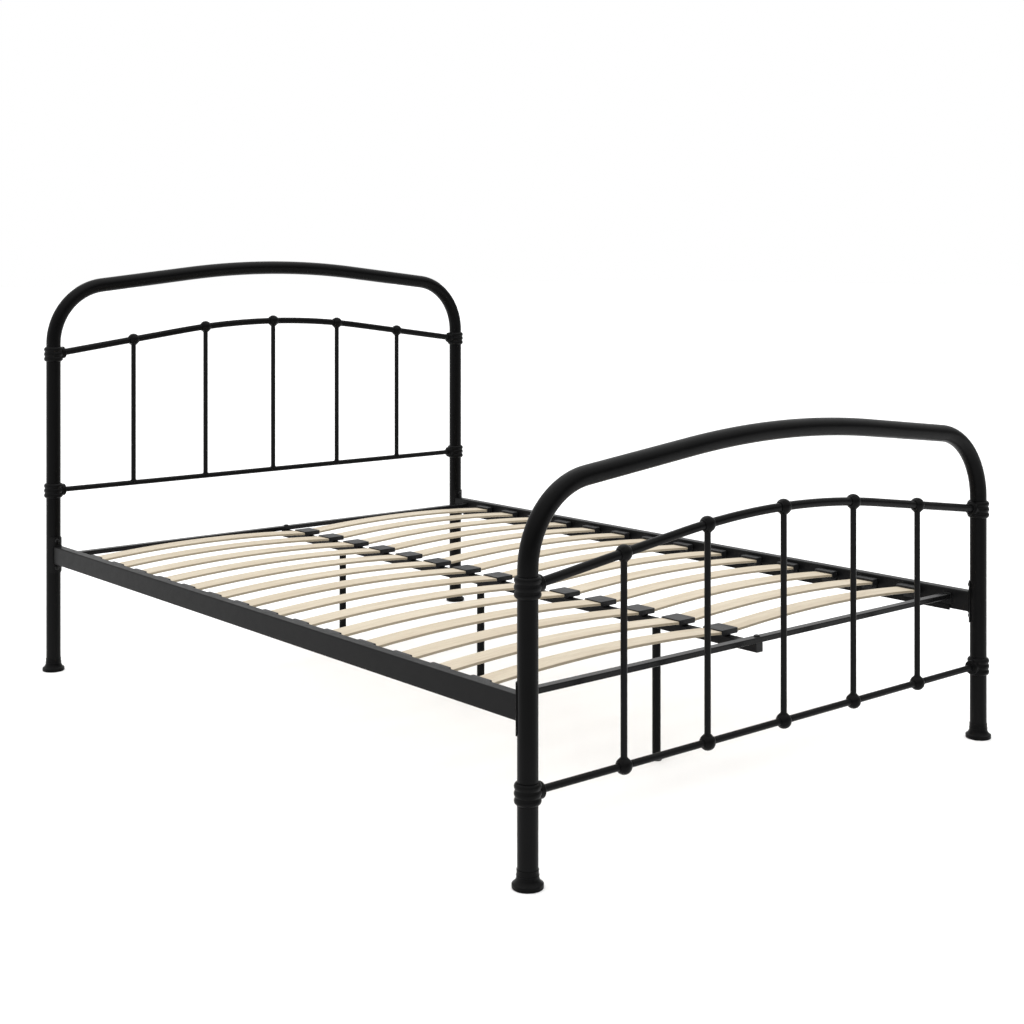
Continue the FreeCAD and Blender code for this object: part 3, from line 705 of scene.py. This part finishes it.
def build_board(name, sill_balls):
    centre, half = centre_and_half(name + "_hoop")
    y, post_r = centre.y, half.y
    post_x = half.x - post_r
    arch_centre, arch_half = centre_and_half(name + "_upper_rail")
    arch_r = arch_half.y
    arch_apex = arch_centre.z + arch_half.z - arch_r
    sill_centre, sill_half = centre_and_half(name + "_lower_rail")
    sill_r, sill_z = sill_half.y, sill_centre.z
    end_x = post_x - BOSS_START

    bm = bmesh.new()
    tube(bm, hoop_path(post_x, y, centre.z + half.z - post_r, centre.z - half.z), post_r, TUBE_SIDES)
    add_tube(name + "_hoop_tube", bm, [name + "_hoop"])

    bm = bmesh.new()
    right = crown_half_path(arch_apex, ARCH_CROWN_R, ARCH_CROWN_HALF)
    right.append((end_x, arch_height(end_x, arch_apex)))
    tube(bm, both_halves(right, y), arch_r, TUBE_SIDES)
    add_tube(name + "_arched_bar", bm, [name + "_upper_rail"])

    bm = bmesh.new()
    tube(bm, both_halves([(0, sill_z), (end_x, sill_z)], y), sill_r, THIN_SIDES)
    add_tube(name + "_straight_bar", bm, [name + "_lower_rail"])

    build_rods_and_balls(name, sill_balls, y, arch_apex, arch_r, sill_z, sill_r)

    bm = bmesh.new()
    mirror = Matrix.Diagonal((-1, 1, 1, 1))
    slope = crown_slope(ARCH_CROWN_R, ARCH_CROWN_HALF)
    for z, radius, tilt in ((arch_height(post_x, arch_apex), arch_r, slope), (sill_z, sill_r, 0.0)):
        left = Matrix.Translation((-post_x, y, z))
        right = Matrix.Translation((post_x, y, z)) @ mirror
        place_copies(bm, collar_casting(radius, tilt, post_r + GAP), [left, right])
    add_castings(name + "_collar_castings", bm, [name + "_collars"])


# ---- bell feet
FOOT_SIDES = 96
RIM_LOW_ROUND = 2.2 * MM
RIM_HIGH_ROUND = 1.8 * MM
RIM_HIGH_Z = 7.4 * MM
CONE_R = 20.5 * MM  # at the cone's top
CONE_LOW = 9.2 * MM
CONE_RISE = 12.8 * MM
CONE_STEPS = 12
CONE_BEND = 2.3  # over 1, the cone is hollow
FOOT_BEAD_ROUND = 1.1 * MM
FOOT_BEAD_Z = 23.4 * MM
SLEEVE_R = 19.9 * MM
SLEEVE_LOW = 25.2 * MM
SLEEVE_TAPER = 0.1 * MM
FOOT_LIP_R = 19.5 * MM
FOOT_LIP_ROUND = 0.8 * MM
FOOT_LIP_DROP = 0.9 * MM  # from the foot's top to the lip's middle
FOOT_LIP_LENGTH = 2.4 * MM
FOOT_BORE_LOW = 6 * MM


def foot_profile(rim_r, bore, height):
    """Rounded rim, hollow cone, a bead and a thin sleeve around the post."""
    profile = arc_points((rim_r - RIM_LOW_ROUND, RIM_LOW_ROUND), RIM_LOW_ROUND, -90, 0, 6)
    shoulder_r = rim_r - RIM_HIGH_ROUND
    profile += arc_points((shoulder_r, RIM_HIGH_Z), RIM_HIGH_ROUND, 0, 80, 6)
    for k in range(1, CONE_STEPS + 1):
        share = k / CONE_STEPS
        out = (shoulder_r - CONE_R) * (1 - share) ** CONE_BEND
        profile.append((CONE_R + out, CONE_LOW + CONE_RISE * share))
    profile += arc_points((SLEEVE_R, FOOT_BEAD_Z), FOOT_BEAD_ROUND, -65, 65, 8)
    profile += [(SLEEVE_R + SLEEVE_TAPER, SLEEVE_LOW)]
    profile += [(SLEEVE_R, height - FOOT_LIP_LENGTH)]
    profile += arc_points((FOOT_LIP_R, height - FOOT_LIP_DROP), FOOT_LIP_ROUND, -50, 90, 6)
    return profile + [(bore, height), (bore, FOOT_BORE_LOW)]


def build_feet():
    half = centre_and_half("post_feet")[1]
    post_half = centre_and_half("headboard_hoop")[1]
    post_x = post_half.x - post_half.y
    rim_r = half.x - post_x
    post_y = half.y - rim_r
    profile = foot_profile(rim_r, post_half.y + GAP, 2 * half.z)
    bm = bmesh.new()
    for sx in (-1, 1):
        for sy in (-1, 1):
            lathe(bm, profile, FOOT_SIDES, (sx * post_x, sy * post_y, 0))
    add_piece("bell_feet", bm, CASTING, ["post_feet"])


# ---- side rails, strips and crossbars
RAIL_ROUND = 3.0 * MM
SADDLE_CLEAR = 21.8 * MM  # rail's end from the post's axis
RAIL_WELD_PROUD = 0.4 * MM
RAIL_WELD_STEP = 2.2 * MM
RAIL_WELD_R = 1.9 * MM

STRIP_THICK = 3.0 * MM
STRIP_EDGE = 0.5 * MM
STITCHES = 4  # on each side of the middle one
STITCH_PITCH = 0.1975
STITCH_SHIFT = 0.0105  # keeps them clear of the holders
STITCH_HALF_STEPS = 6
STITCH_STEP = 2.2 * MM
STITCH_R = 1.3 * MM
STITCH_INSET = 0.3 * MM
STITCH_RISE = 0.2 * MM

BAR_HALF = 10.0 * MM
BAR_TOP_DROP = 1.8 * MM  # crossbar's top below its end plates' top
BAR_HEIGHT = 12.0 * MM
BAR_FROM_TAB = 1.0 * MM  # crossbar's axis from the end plates' middle, away from the bed's middle
BAR_ROUND = 2.0 * MM
BAR_WELD_R = 1.5 * MM
BAR_WELD_INSET = 0.4 * MM
BAR_WELD_STEP = 1.9 * MM
TAB_THICK = 2.2 * MM
TAB_ROUND = 3.0 * MM
TAB_EDGE = 0.4 * MM
TAB_WELD_R = 1.4 * MM
TAB_WELD_END = 4 * MM  # from a plate's corner to its weld's end


def on_cylinder(x, z, post_x, post_y, radius):
    """Point at x and z on the cylinder around a post, on the side of the bed's middle."""
    return Vector((x, post_y - math.copysign(math.sqrt(radius ** 2 - (abs(x) - post_x) ** 2), post_y), z))


def build_side_rail(name, node_name, post_x, post_y):
    low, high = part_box(node_name)
    bm = bmesh.new()
    rings = bar(bm, low, high, 1, RAIL_ROUND, steps=6, spans=(4, 10))
    for ring, end_y in ((rings[0], -post_y), (rings[-1], post_y)):
        for vertex in ring:
            vertex.co = on_cylinder(vertex.co.x, vertex.co.z, post_x, end_y, SADDLE_CLEAR)
    add_tube(name, bm, [node_name])


def build_rail_welds(post_x, post_y):
    """Beads around the side rails' ends, on the saddles. They stand for no CAD node."""
    bm = bmesh.new()
    for side, node_name in ((-1, "side_rail_left"), (1, "side_rail_right")):
        centre, half = centre_and_half(node_name)
        outline = rounded_outline(half.z + RAIL_WELD_PROUD, half.x + RAIL_WELD_PROUD, RAIL_ROUND, 4, (6, 6))
        for end_y in (-post_y, post_y):
            path = []
            for u, v in outline:
                path.append(on_cylinder(centre.x + v, centre.z + u, post_x, end_y, SADDLE_CLEAR))
            weld(bm, spaced(path, RAIL_WELD_STEP, True), RAIL_WELD_R, True, side + 2 * end_y)
    add_tube("rail_end_welds", bm, [])


def build_strips():
    """Steel strips inside the rails, with stitches of weld along their upper edges."""
    low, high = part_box("rail_strips")
    bm = bmesh.new()
    for side in (-1, 1):
        x0, x1 = sorted((side * (high.x - STRIP_THICK), side * high.x))
        bar(bm, (x0, low.y, low.z), (x1, high.y, high.z), 1, STRIP_EDGE, steps=2, end_round=STRIP_EDGE)
        x = side * (high.x - STITCH_INSET)
        for stitch in range(-STITCHES, STITCHES + 1):
            y = stitch * STITCH_PITCH + STITCH_SHIFT
            steps = range(-STITCH_HALF_STEPS, STITCH_HALF_STEPS + 1)
            path = [Vector((x, y + k * STITCH_STEP, high.z + STITCH_RISE)) for k in steps]
            weld(bm, path, STITCH_R, False, stitch)
    add_tube("holder_strips", bm, ["rail_strips"])


def build_crossbar(name, node_name):
    """Flat box tube with a plate welded on each end, and beads where the plates meet the side rails."""
    low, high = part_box(node_name)
    out = math.copysign(1.0, low.y)
    y = (low.y + high.y) / 2 + out * BAR_FROM_TAB
    top = high.z - BAR_TOP_DROP
    reach = high.x - TAB_THICK
    bm = bmesh.new()
    bar(bm, (-reach, y - BAR_HALF, top - BAR_HEIGHT), (reach, y + BAR_HALF, top), 0, BAR_ROUND, steps=5)
    outline = rounded_outline(BAR_HALF, BAR_HEIGHT / 2, BAR_ROUND, 3, (4, 2))
    for side in (-1, 1):
        x0, x1 = sorted((side * reach, side * high.x))
        bar(bm, (x0, low.y, low.z), (x1, high.y, high.z), 0, TAB_ROUND, end_round=TAB_EDGE)
        x = side * (reach - BAR_WELD_INSET)
        ring = [Vector((x, y + u, top - BAR_HEIGHT / 2 + v)) for u, v in outline]
        weld(bm, spaced(ring, BAR_WELD_STEP, True), BAR_WELD_R, True, side)
        for edge in (low.y, high.y):
            ends = (low.z + TAB_WELD_END, high.z - TAB_WELD_END)
            span = [Vector((side * high.x, edge, z)) for z in ends]
            weld(bm, spaced(span, BAR_WELD_STEP), TAB_WELD_R, False, side + edge)
    add_piece(name, bm, BAR_COAT, [node_name])


# ---- bolts
BOLT_SIDES = 48
BOLT_LAND_R = 2.9 * MM  # flat ring around the socket
BOLT_FULLNESS = 0.85
BOLT_EDGE = 0.2 * MM
BOLT_EDGE_HEIGHT = 0.25 * MM
SOCKET_HALF = 2.0 * MM  # half across the hexagon's flats
SOCKET_DEPTH = 2.0 * MM
SOCKET_CHAMFER = 0.15 * MM
SHANK_R = 3.0 * MM

POST_BOLT_R, POST_BOLT_HEIGHT, POST_BOLT_SHANK = 6.0 * MM, 3.8 * MM, 1.5 * MM
CROSS_BOLT_R, CROSS_BOLT_HEIGHT, CROSS_BOLT_SHANK = 7.0 * MM, 3.2 * MM, 0.3 * MM


def button_bolt(bm, seat, axis, head_r, head_h, shank_length):
    """Button head with a hexagon socket, flat side at the seat, shank behind it."""
    axis, across, other = frame_of(axis)
    profile = [(SHANK_R, -shank_length), (SHANK_R, 0.0)]
    profile += [(head_r - BOLT_EDGE, 0.0), (head_r, BOLT_EDGE_HEIGHT)]
    for k in range(1, 9):
        turn = math.pi / 2 * k / 8
        radius = BOLT_LAND_R + (head_r - BOLT_LAND_R) * math.cos(turn) ** BOLT_FULLNESS
        profile.append((radius, BOLT_EDGE_HEIGHT + (head_h - BOLT_EDGE_HEIGHT) * math.sin(turn)))
    rings = [circle(bm, Vector(seat) + axis * h, across, other, r, BOLT_SIDES) for r, h in profile]
    for height in (head_h - SOCKET_CHAMFER, head_h - SOCKET_DEPTH):
        ring = []
        for k in range(BOLT_SIDES):
            turn = 2 * math.pi * k / BOLT_SIDES
            reach = SOCKET_HALF / math.cos((turn + math.pi / 6) % (math.pi / 3) - math.pi / 6)
            out = reach * (math.cos(turn) * across + math.sin(turn) * other)
            ring.append(bm.verts.new(Vector(seat) + axis * height + out))
        rings.append(ring)
    join_and_cap(bm, rings)


def build_post_bolts(post_x, post_y):
    low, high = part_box("rail_bolts")
    bm = bmesh.new()
    for sx in (-1, 1):
        for sy in (-1, 1):
            for z in (low.z + POST_BOLT_R, high.z - POST_BOLT_R):
                seat = (sx * post_x, sy * (post_y - SADDLE_CLEAR), z)
                button_bolt(bm, seat, (0, -sy, 0), POST_BOLT_R, POST_BOLT_HEIGHT, POST_BOLT_SHANK)
    add_piece("post_bolts", bm, BOLT, ["rail_bolts"])


def build_crossbar_bolts():
    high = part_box("crossbar_bolts")[1]
    bm = bmesh.new()
    for sy in (-1, 1):
        seat = (0, sy * (high.y - CROSS_BOLT_R), high.z - CROSS_BOLT_HEIGHT)
        button_bolt(bm, seat, (0, 0, 1), CROSS_BOLT_R, CROSS_BOLT_HEIGHT, CROSS_BOLT_SHANK)
    add_piece("cross_tube_bolts", bm, BOLT, ["crossbar_bolts"])


# ---- centre rail, legs and glides
SPINE_ROUND = 2.0 * MM
CAP_EDGE = 0.7 * MM

LEG_BORE = 4.3 * MM
LEG_LOW_EDGE, LEG_TOP_EDGE = 0.4 * MM, 0.5 * MM
INSERT_BORE = 4.1 * MM
INSERT_ROUND = 0.7 * MM

PAD_TOP = 4.5 * MM
PAD_LOW_ROUND, PAD_HIGH_ROUND = 1.3 * MM, 1.5 * MM
PAD_HIGH_DROP = 1.6 * MM  # from the pad's top to its upper rounding's middle
PAD_LAND_R = 7.0 * MM
HEX_FLATS = 13.0 * MM
HEX_SINK = 0.3 * MM
HEX_TOP = 8.0 * MM
HEX_CHAMFER = 0.5 * MM
STEM_R = 3.95 * MM
STEM_SIDES = 36
STEM_SINK = 0.2 * MM
THREAD_PITCH = 1.25 * MM
THREAD_DEPTH = 0.6 * MM
THREAD_STEPS = 8  # rings in each turn


def build_spine():
    low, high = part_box("centre_rail")
    bm = bmesh.new()
    bar(bm, low, high, 1, SPINE_ROUND, steps=5)
    add_tube("spine_tube", bm, ["centre_rail"])
    cap_low, cap_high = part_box("centre_rail_plugs")
    bm = bmesh.new()
    for side in (-1, 1):
        y0, y1 = sorted((side * high.y, side * cap_high.y))
        corners = (cap_low.x, y0, cap_low.z), (cap_high.x, y1, cap_high.z)
        bar(bm, *corners, 1, SPINE_ROUND, steps=5, end_round=CAP_EDGE)
    add_piece("spine_caps", bm, HOLDER, ["centre_rail_plugs"])


def thread_ripple(height, angle):
    """Change of a stem's radius on a right-hand screw thread."""
    turn = (height / THREAD_PITCH - angle / (2 * math.pi)) % 1.0
    return THREAD_DEPTH * (1 - abs(2 * turn - 1)) - THREAD_DEPTH


def build_glide(name, y):
    """Levelling foot: floor pad, hexagon and threaded stem."""
    low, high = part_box("glide_" + name)
    pad_r = (high.x - low.x) / 2
    bm = bmesh.new()
    profile = arc_points((pad_r - PAD_LOW_ROUND, PAD_LOW_ROUND), PAD_LOW_ROUND, -90, 0, 5)
    profile += arc_points((pad_r - PAD_HIGH_ROUND, PAD_TOP - PAD_HIGH_DROP), PAD_HIGH_ROUND, 0, 75, 6)
    profile += [(PAD_LAND_R, PAD_TOP)]
    lathe(bm, profile, TUBE_SIDES, (0, y, 0))
    corner, hex_low = HEX_FLATS / math.sqrt(3), PAD_TOP - HEX_SINK
    hexagon = [(corner - HEX_CHAMFER, hex_low), (corner, hex_low + HEX_CHAMFER)]
    hexagon += [(corner, HEX_TOP - HEX_CHAMFER), (corner - HEX_CHAMFER, HEX_TOP)]
    lathe(bm, hexagon, 6, (0, y, 0))
    length = high.z - HEX_TOP
    count = int(length / THREAD_PITCH * THREAD_STEPS)
    stem = [(STEM_R, HEX_TOP - STEM_SINK + length * k / count) for k in range(count + 1)]
    lathe(bm, stem, STEM_SIDES, (0, y, 0), ripple=thread_ripple)
    add_piece(name + "_levelling_glide", bm, GLIDE, ["glide_" + name],
              body=name + "_glide", sharp=50.0)


def build_legs():
    low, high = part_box("centre_legs")
    leg_r = (high.x - low.x) / 2
    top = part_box("centre_rail")[0].z - WELD_GAP
    insert_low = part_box("leg_inserts")[0].z
    leg = [(LEG_BORE, low.z), (leg_r - LEG_LOW_EDGE, low.z), (leg_r, low.z + LEG_LOW_EDGE)]
    leg += [(leg_r, top - LEG_TOP_EDGE), (leg_r - LEG_TOP_EDGE, top), (LEG_BORE, top)]
    flange = [(INSERT_BORE, low.z), (INSERT_BORE, insert_low)]
    flange += arc_points((leg_r - INSERT_ROUND, insert_low + INSERT_ROUND), INSERT_ROUND, -90, 0, 4)
    flange += [(leg_r, low.z - WELD_GAP)]
    legs = bmesh.new()
    inserts = bmesh.new()
    for name, y in (("foot", low.y + leg_r), ("middle", 0.0), ("head", high.y - leg_r)):
        lathe(legs, leg, TUBE_SIDES, (0, y, 0), loop=True)
        lathe(inserts, flange, TUBE_SIDES, (0, y, 0), loop=True)
        build_glide(name, y)
    add_tube("leg_tubes", legs, ["centre_legs"])
    add_piece("leg_bungs", inserts, HOLDER, ["leg_inserts"])


# ---- slats
SLAT_BOW_R = 3.947  # spring of the slats
SLAT_CROWN_X = 0.330
SLAT_THICK = 6.0 * MM
SLAT_ROUND = 1.7 * MM  # rounded long edges
SLAT_STATIONS = 40
SLATS_IN_ROW = 14
SLAT_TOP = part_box("slat_right_01")[1].z
SLAT_HALF = centre_and_half("slat_right_01")[1].y
GRAIN_ALONG, GRAIN_ACROSS = 1.37, 0.61  # from one board's grain to the next one's


def bow_point(x, depth):
    """Point of a right-hand slat's long section: depth is below its top face."""
    crown = SLAT_TOP - SLAT_BOW_R
    turn = math.asin((x - SLAT_CROWN_X) / SLAT_BOW_R)
    reach = SLAT_BOW_R - depth
    return Vector((SLAT_CROWN_X + reach * math.sin(turn), 0, crown + reach * math.cos(turn)))


def board_mesh(x0, x1, width, thickness):
    """Right-hand slat at Y 0 and, for each vertex, the place along, across and through the board."""
    bm = bmesh.new()
    outline = rounded_outline(width / 2, thickness / 2, SLAT_ROUND, 5, (6, 1))
    rings = []
    places = []
    for k in range(SLAT_STATIONS + 1):
        x = x0 + (x1 - x0) * k / SLAT_STATIONS
        ring = []
        for across, through in outline:
            ring.append(bm.verts.new(bow_point(x, thickness / 2 - through) + Vector((0, across, 0))))
            places.append((x, across, through))
        rings.append(ring)
    join_and_cap(bm, rings)
    places += [(x0, 0.0, 0.0), (x1, 0.0, 0.0)]
    return bm, places


def all_slats():
    """Side, CAD node and Y of each slat."""
    slats = []
    for side, word in ((1, "right"), (-1, "left")):
        for number in range(1, SLATS_IN_ROW + 1):
            node_name = "slat_%s_%02d" % (word, number)
            slats.append((side, node_name, centre_and_half(node_name)[0].y))
    return slats


def build_boards(slats):
    low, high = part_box("slat_right_01")
    for index, (side, node_name, y) in enumerate(slats):
        bm, places = board_mesh(low.x, high.x, high.y - low.y, SLAT_THICK)
        move = Matrix.Translation((0, y, 0)) @ Matrix.Diagonal((side, 1, 1, 1))
        bmesh.ops.transform(bm, matrix=move, verts=bm.verts)
        name = node_name.replace("slat", "board")
        piece = add_piece(name, bm, BIRCH, [node_name], sharp=60.0)
        board = piece.data.attributes.new("board", "FLOAT_VECTOR", "POINT")
        grain = [(s + GRAIN_ALONG * index, t + GRAIN_ACROSS * index, w) for s, t, w in places]
        board.data.foreach_set("vector", [c for place in grain for c in place])


# ---- slat holders
HOLDER_ROUND = 3.0 * MM  # upright corners
HOLDER_SOFT = 0.9 * MM  # edges at top and bottom
POCKET_EDGE = 0.45 * MM
POCKET_AIR = 0.3 * MM  # around the slat
POCKET_END_AIR = 0.25 * MM  # at its end
POCKET_PAST = 20 * MM  # how far the cutter runs past the cup's mouth
POCKET_STEPS = 10

CUP_ABOVE_RAIL = 2.8 * MM  # centre cups
CUP_NECK_HALF_X = 9.5 * MM
CUP_NECK_HALF_Y = 22 * MM
CUP_NECK_GAP = 0.1 * MM
CUP_NECK_ROUND = 2.0 * MM
CUP_OVERLAP = 0.5 * MM  # necks and ribs into their cup

SIDE_CUP_LOW = 314.5 * MM
SIDE_CUP_RISE = 2.4 * MM  # side holders' tops above their CAD box, so that they show over the rail
PLATE_HALF = 22 * MM
PLATE_GAP_LOW = 0.2 * MM
PLATE_GAP_BACK = 0.05 * MM
PLATE_INTO_CUP = 0.4 * MM
PLATE_ROUND = 2.5 * MM
PLATE_EDGE = 0.5 * MM
RIB_YS = (-14 * MM, 0.0, 14 * MM)
RIB_HALF = 0.9 * MM
RIB_REACH = 9 * MM
RIB_DROP = 6 * MM
RIB_ROUND = 0.5 * MM


def pocket(x0, x1):
    """Cutter for the slat's end between x0 and x1, a little wider and thicker than the slat."""
    bm = bmesh.new()
    half_y, top, bottom = SLAT_HALF + POCKET_AIR, -POCKET_AIR, SLAT_THICK + POCKET_AIR
    rings = []
    for k in range(POCKET_STEPS + 1):
        x = x0 + (x1 - x0) * k / POCKET_STEPS
        ring = []
        for side, depth in ((-1, top), (1, top), (1, bottom), (-1, bottom)):
            ring.append(bm.verts.new(bow_point(x, depth) + Vector((0, side * half_y, 0))))
        rings.append(ring)
    join_and_cap(bm, rings)
    return bm


def holder_block(low, high):
    """Block with rounded upright corners and softened edges at top and bottom."""
    bm = bmesh.new()
    bar(bm, low, high, 2, HOLDER_ROUND, steps=5, end_round=HOLDER_SOFT)
    return bm


def build_centre_holders(ys):
    """Double cups, open to both sides, on a neck that stands on the centre rail."""
    low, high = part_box("slat_holders_centre")
    rail_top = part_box("centre_rail")[1].z
    cup_low = rail_top + CUP_ABOVE_RAIL
    half_y = (high.y - low.y - (ys[-1] - ys[0])) / 2
    block = holder_block((low.x, -half_y, cup_low), (high.x, half_y, high.z))
    slat_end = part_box("slat_right_01")[0].x
    cutter = pocket(slat_end - POCKET_END_AIR, high.x + POCKET_PAST)
    other = bpy.data.meshes.new("other_side")
    cutter.to_mesh(other)
    place_copies(cutter, other, [Matrix.Diagonal((-1, 1, 1, 1))])
    cup = cut_out(block, cutter, POCKET_EDGE)
    bm = bmesh.new()
    place_copies(bm, cup, [Matrix.Translation((0, y, 0)) for y in ys])
    for y in ys:
        neck_low = (-CUP_NECK_HALF_X, y - CUP_NECK_HALF_Y, rail_top + CUP_NECK_GAP)
        neck_high = (CUP_NECK_HALF_X, y + CUP_NECK_HALF_Y, cup_low + CUP_OVERLAP)
        bar(bm, neck_low, neck_high, 2, CUP_NECK_ROUND)
    add_holders("middle_slat_holders", bm, ["slat_holders_centre"])


def side_holder_back(back, strip_high, top):
    """Back plate of a side holder, on the strip and against the rail, with three ribs under the cup."""
    bm = bmesh.new()
    plate_low = (back - PLATE_INTO_CUP, -PLATE_HALF, strip_high.z + PLATE_GAP_LOW)
    plate_high = (strip_high.x - PLATE_GAP_BACK, PLATE_HALF, top)
    bar(bm, plate_low, plate_high, 0, PLATE_ROUND, end_round=PLATE_EDGE)
    for y in RIB_YS:
        rib_low = (back - RIB_REACH, y - RIB_HALF, SIDE_CUP_LOW - RIB_DROP)
        rib_high = (back, y + RIB_HALF, SIDE_CUP_LOW + CUP_OVERLAP)
        bar(bm, rib_low, rib_high, 1, RIB_ROUND, steps=2)
    bmesh.ops.recalc_face_normals(bm, faces=bm.faces)
    return mesh_of(bm, "plate")


def build_side_holders(ys):
    low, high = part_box("slat_holders_right")
    strip_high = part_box("rail_strips")[1]
    back = strip_high.x - STRIP_THICK
    top = high.z + SIDE_CUP_RISE
    half_y = (high.y - low.y - (ys[-1] - ys[0])) / 2
    block = holder_block((low.x, -half_y, SIDE_CUP_LOW), (back, half_y, top))
    slat_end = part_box("slat_right_01")[1].x
    cup = cut_out(block, pocket(low.x - POCKET_PAST, slat_end + POCKET_END_AIR), POCKET_EDGE)
    plate = side_holder_back(back, strip_high, top)
    for side, word in ((1, "right"), (-1, "left")):
        bm = bmesh.new()
        turn = Matrix.Diagonal((side, 1, 1, 1))
        for mesh in (cup, plate):
            place_copies(bm, mesh, [Matrix.Translation((0, y, 0)) @ turn for y in ys])
        add_holders(word + "_slat_holders", bm, ["slat_holders_" + word])


# ---- build
build_board("headboard", False)
build_board("footboard", True)
build_feet()

head_centre, head_half = centre_and_half("headboard_hoop")
POST_X, POST_Y = head_half.x - head_half.y, head_centre.y
build_side_rail("left_side_bar", "side_rail_left", POST_X, POST_Y)
build_side_rail("right_side_bar", "side_rail_right", POST_X, POST_Y)
build_strips()
build_crossbar("head_cross_tube", "head_crossbar")
build_crossbar("foot_cross_tube", "foot_crossbar")
build_post_bolts(POST_X, POST_Y)
build_crossbar_bolts()
build_spine()
build_legs()

slats = all_slats()
slat_ys = [y for side, node_name, y in slats if side > 0]
build_boards(slats)
build_centre_holders(slat_ys)
build_side_holders(slat_ys)
build_rail_welds(POST_X, POST_Y)

# CAD nodes that stay in view get a better material
for node_name, paint in (("rail_saddles", COAT), ("rail_nuts", ZINC)):
    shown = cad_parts[node_name]
    shown.data.materials.clear()
    shown.data.materials.append(paint)

# ---- floor and light
FLOOR_HALF = 60.0
FLOOR_COLOUR = (0.97, 0.97, 0.97, 1)
FLOOR_ROUGHNESS = 0.9

DIM_WAY = (0.34, -0.94, 0)  # towards the dim side of the studio
DIM_WALL, BRIGHT_WALL, CEILING = 0.10, 0.95, 1.60
BACKDROP = 1.0  # white behind the bed, for the camera only
BRIGHT_FACING, DIM_FACING = -0.5, 0.8  # share of DIM_WAY where each wall is full
WALL_TOP, CEILING_START = 0.12, 0.72  # share of straight up


def build_floor():
    bm = bmesh.new()
    corners = ((-1, -1), (1, -1), (1, 1), (-1, 1))
    bm.faces.new([bm.verts.new((x * FLOOR_HALF, y * FLOOR_HALF, 0)) for x, y in corners])
    floor = loose_object(bm, "floor")
    paint, _, shader = new_material("pale_floor")
    shader.inputs["Base Color"].default_value = FLOOR_COLOUR
    shader.inputs["Roughness"].default_value = FLOOR_ROUGHNESS
    shader.inputs["Specular IOR Level"].default_value = 0.0
    floor.data.materials.append(paint)


def light_room():
    """White room with a bright ceiling, a bright wall and a dim one."""
    world = bpy.data.worlds.new("studio")
    scene.world = world
    world.use_nodes = True
    tree = world.node_tree
    way = node(tree, "ShaderNodeTexCoord").outputs["Generated"]
    up = node(tree, "ShaderNodeSeparateXYZ", {"Vector": way}).outputs["Z"]
    dot = node(tree, "ShaderNodeVectorMath", {0: way, 1: DIM_WAY}, operation="DOT_PRODUCT")
    walls = spread(tree, dot.outputs["Value"], BRIGHT_FACING, DIM_FACING, BRIGHT_WALL, DIM_WALL)
    room = blend_value(tree, spread(tree, up, WALL_TOP, CEILING_START, 0.0, 1.0), walls, CEILING)
    seen = node(tree, "ShaderNodeLightPath").outputs["Is Camera Ray"]
    background = tree.nodes["Background"]
    background.inputs["Color"].default_value = (1, 1, 1, 1)
    tree.links.new(blend_value(tree, seen, room, BACKDROP), background.inputs["Strength"])


def soft_box(name, place, aim, size, power):
    lamp = bpy.data.lights.new(name, "AREA")
    lamp.shape = "SQUARE"
    lamp.size = size
    lamp.energy = power
    made = linked_object(name, lamp)
    made.location = place
    made.rotation_euler = (Vector(aim) - Vector(place)).to_track_quat("-Z", "Y").to_euler()
    made.visible_camera = False


build_floor()
light_room()
soft_box("overhead", (0, 0, 3.6), (0, 0, 0), 3.5, 40.0)
soft_box("left_side", (-4.5, 3.0, 1.6), (0, 0, 0.5), 2.0, 15.0)

scene.view_settings.view_transform = "Standard"
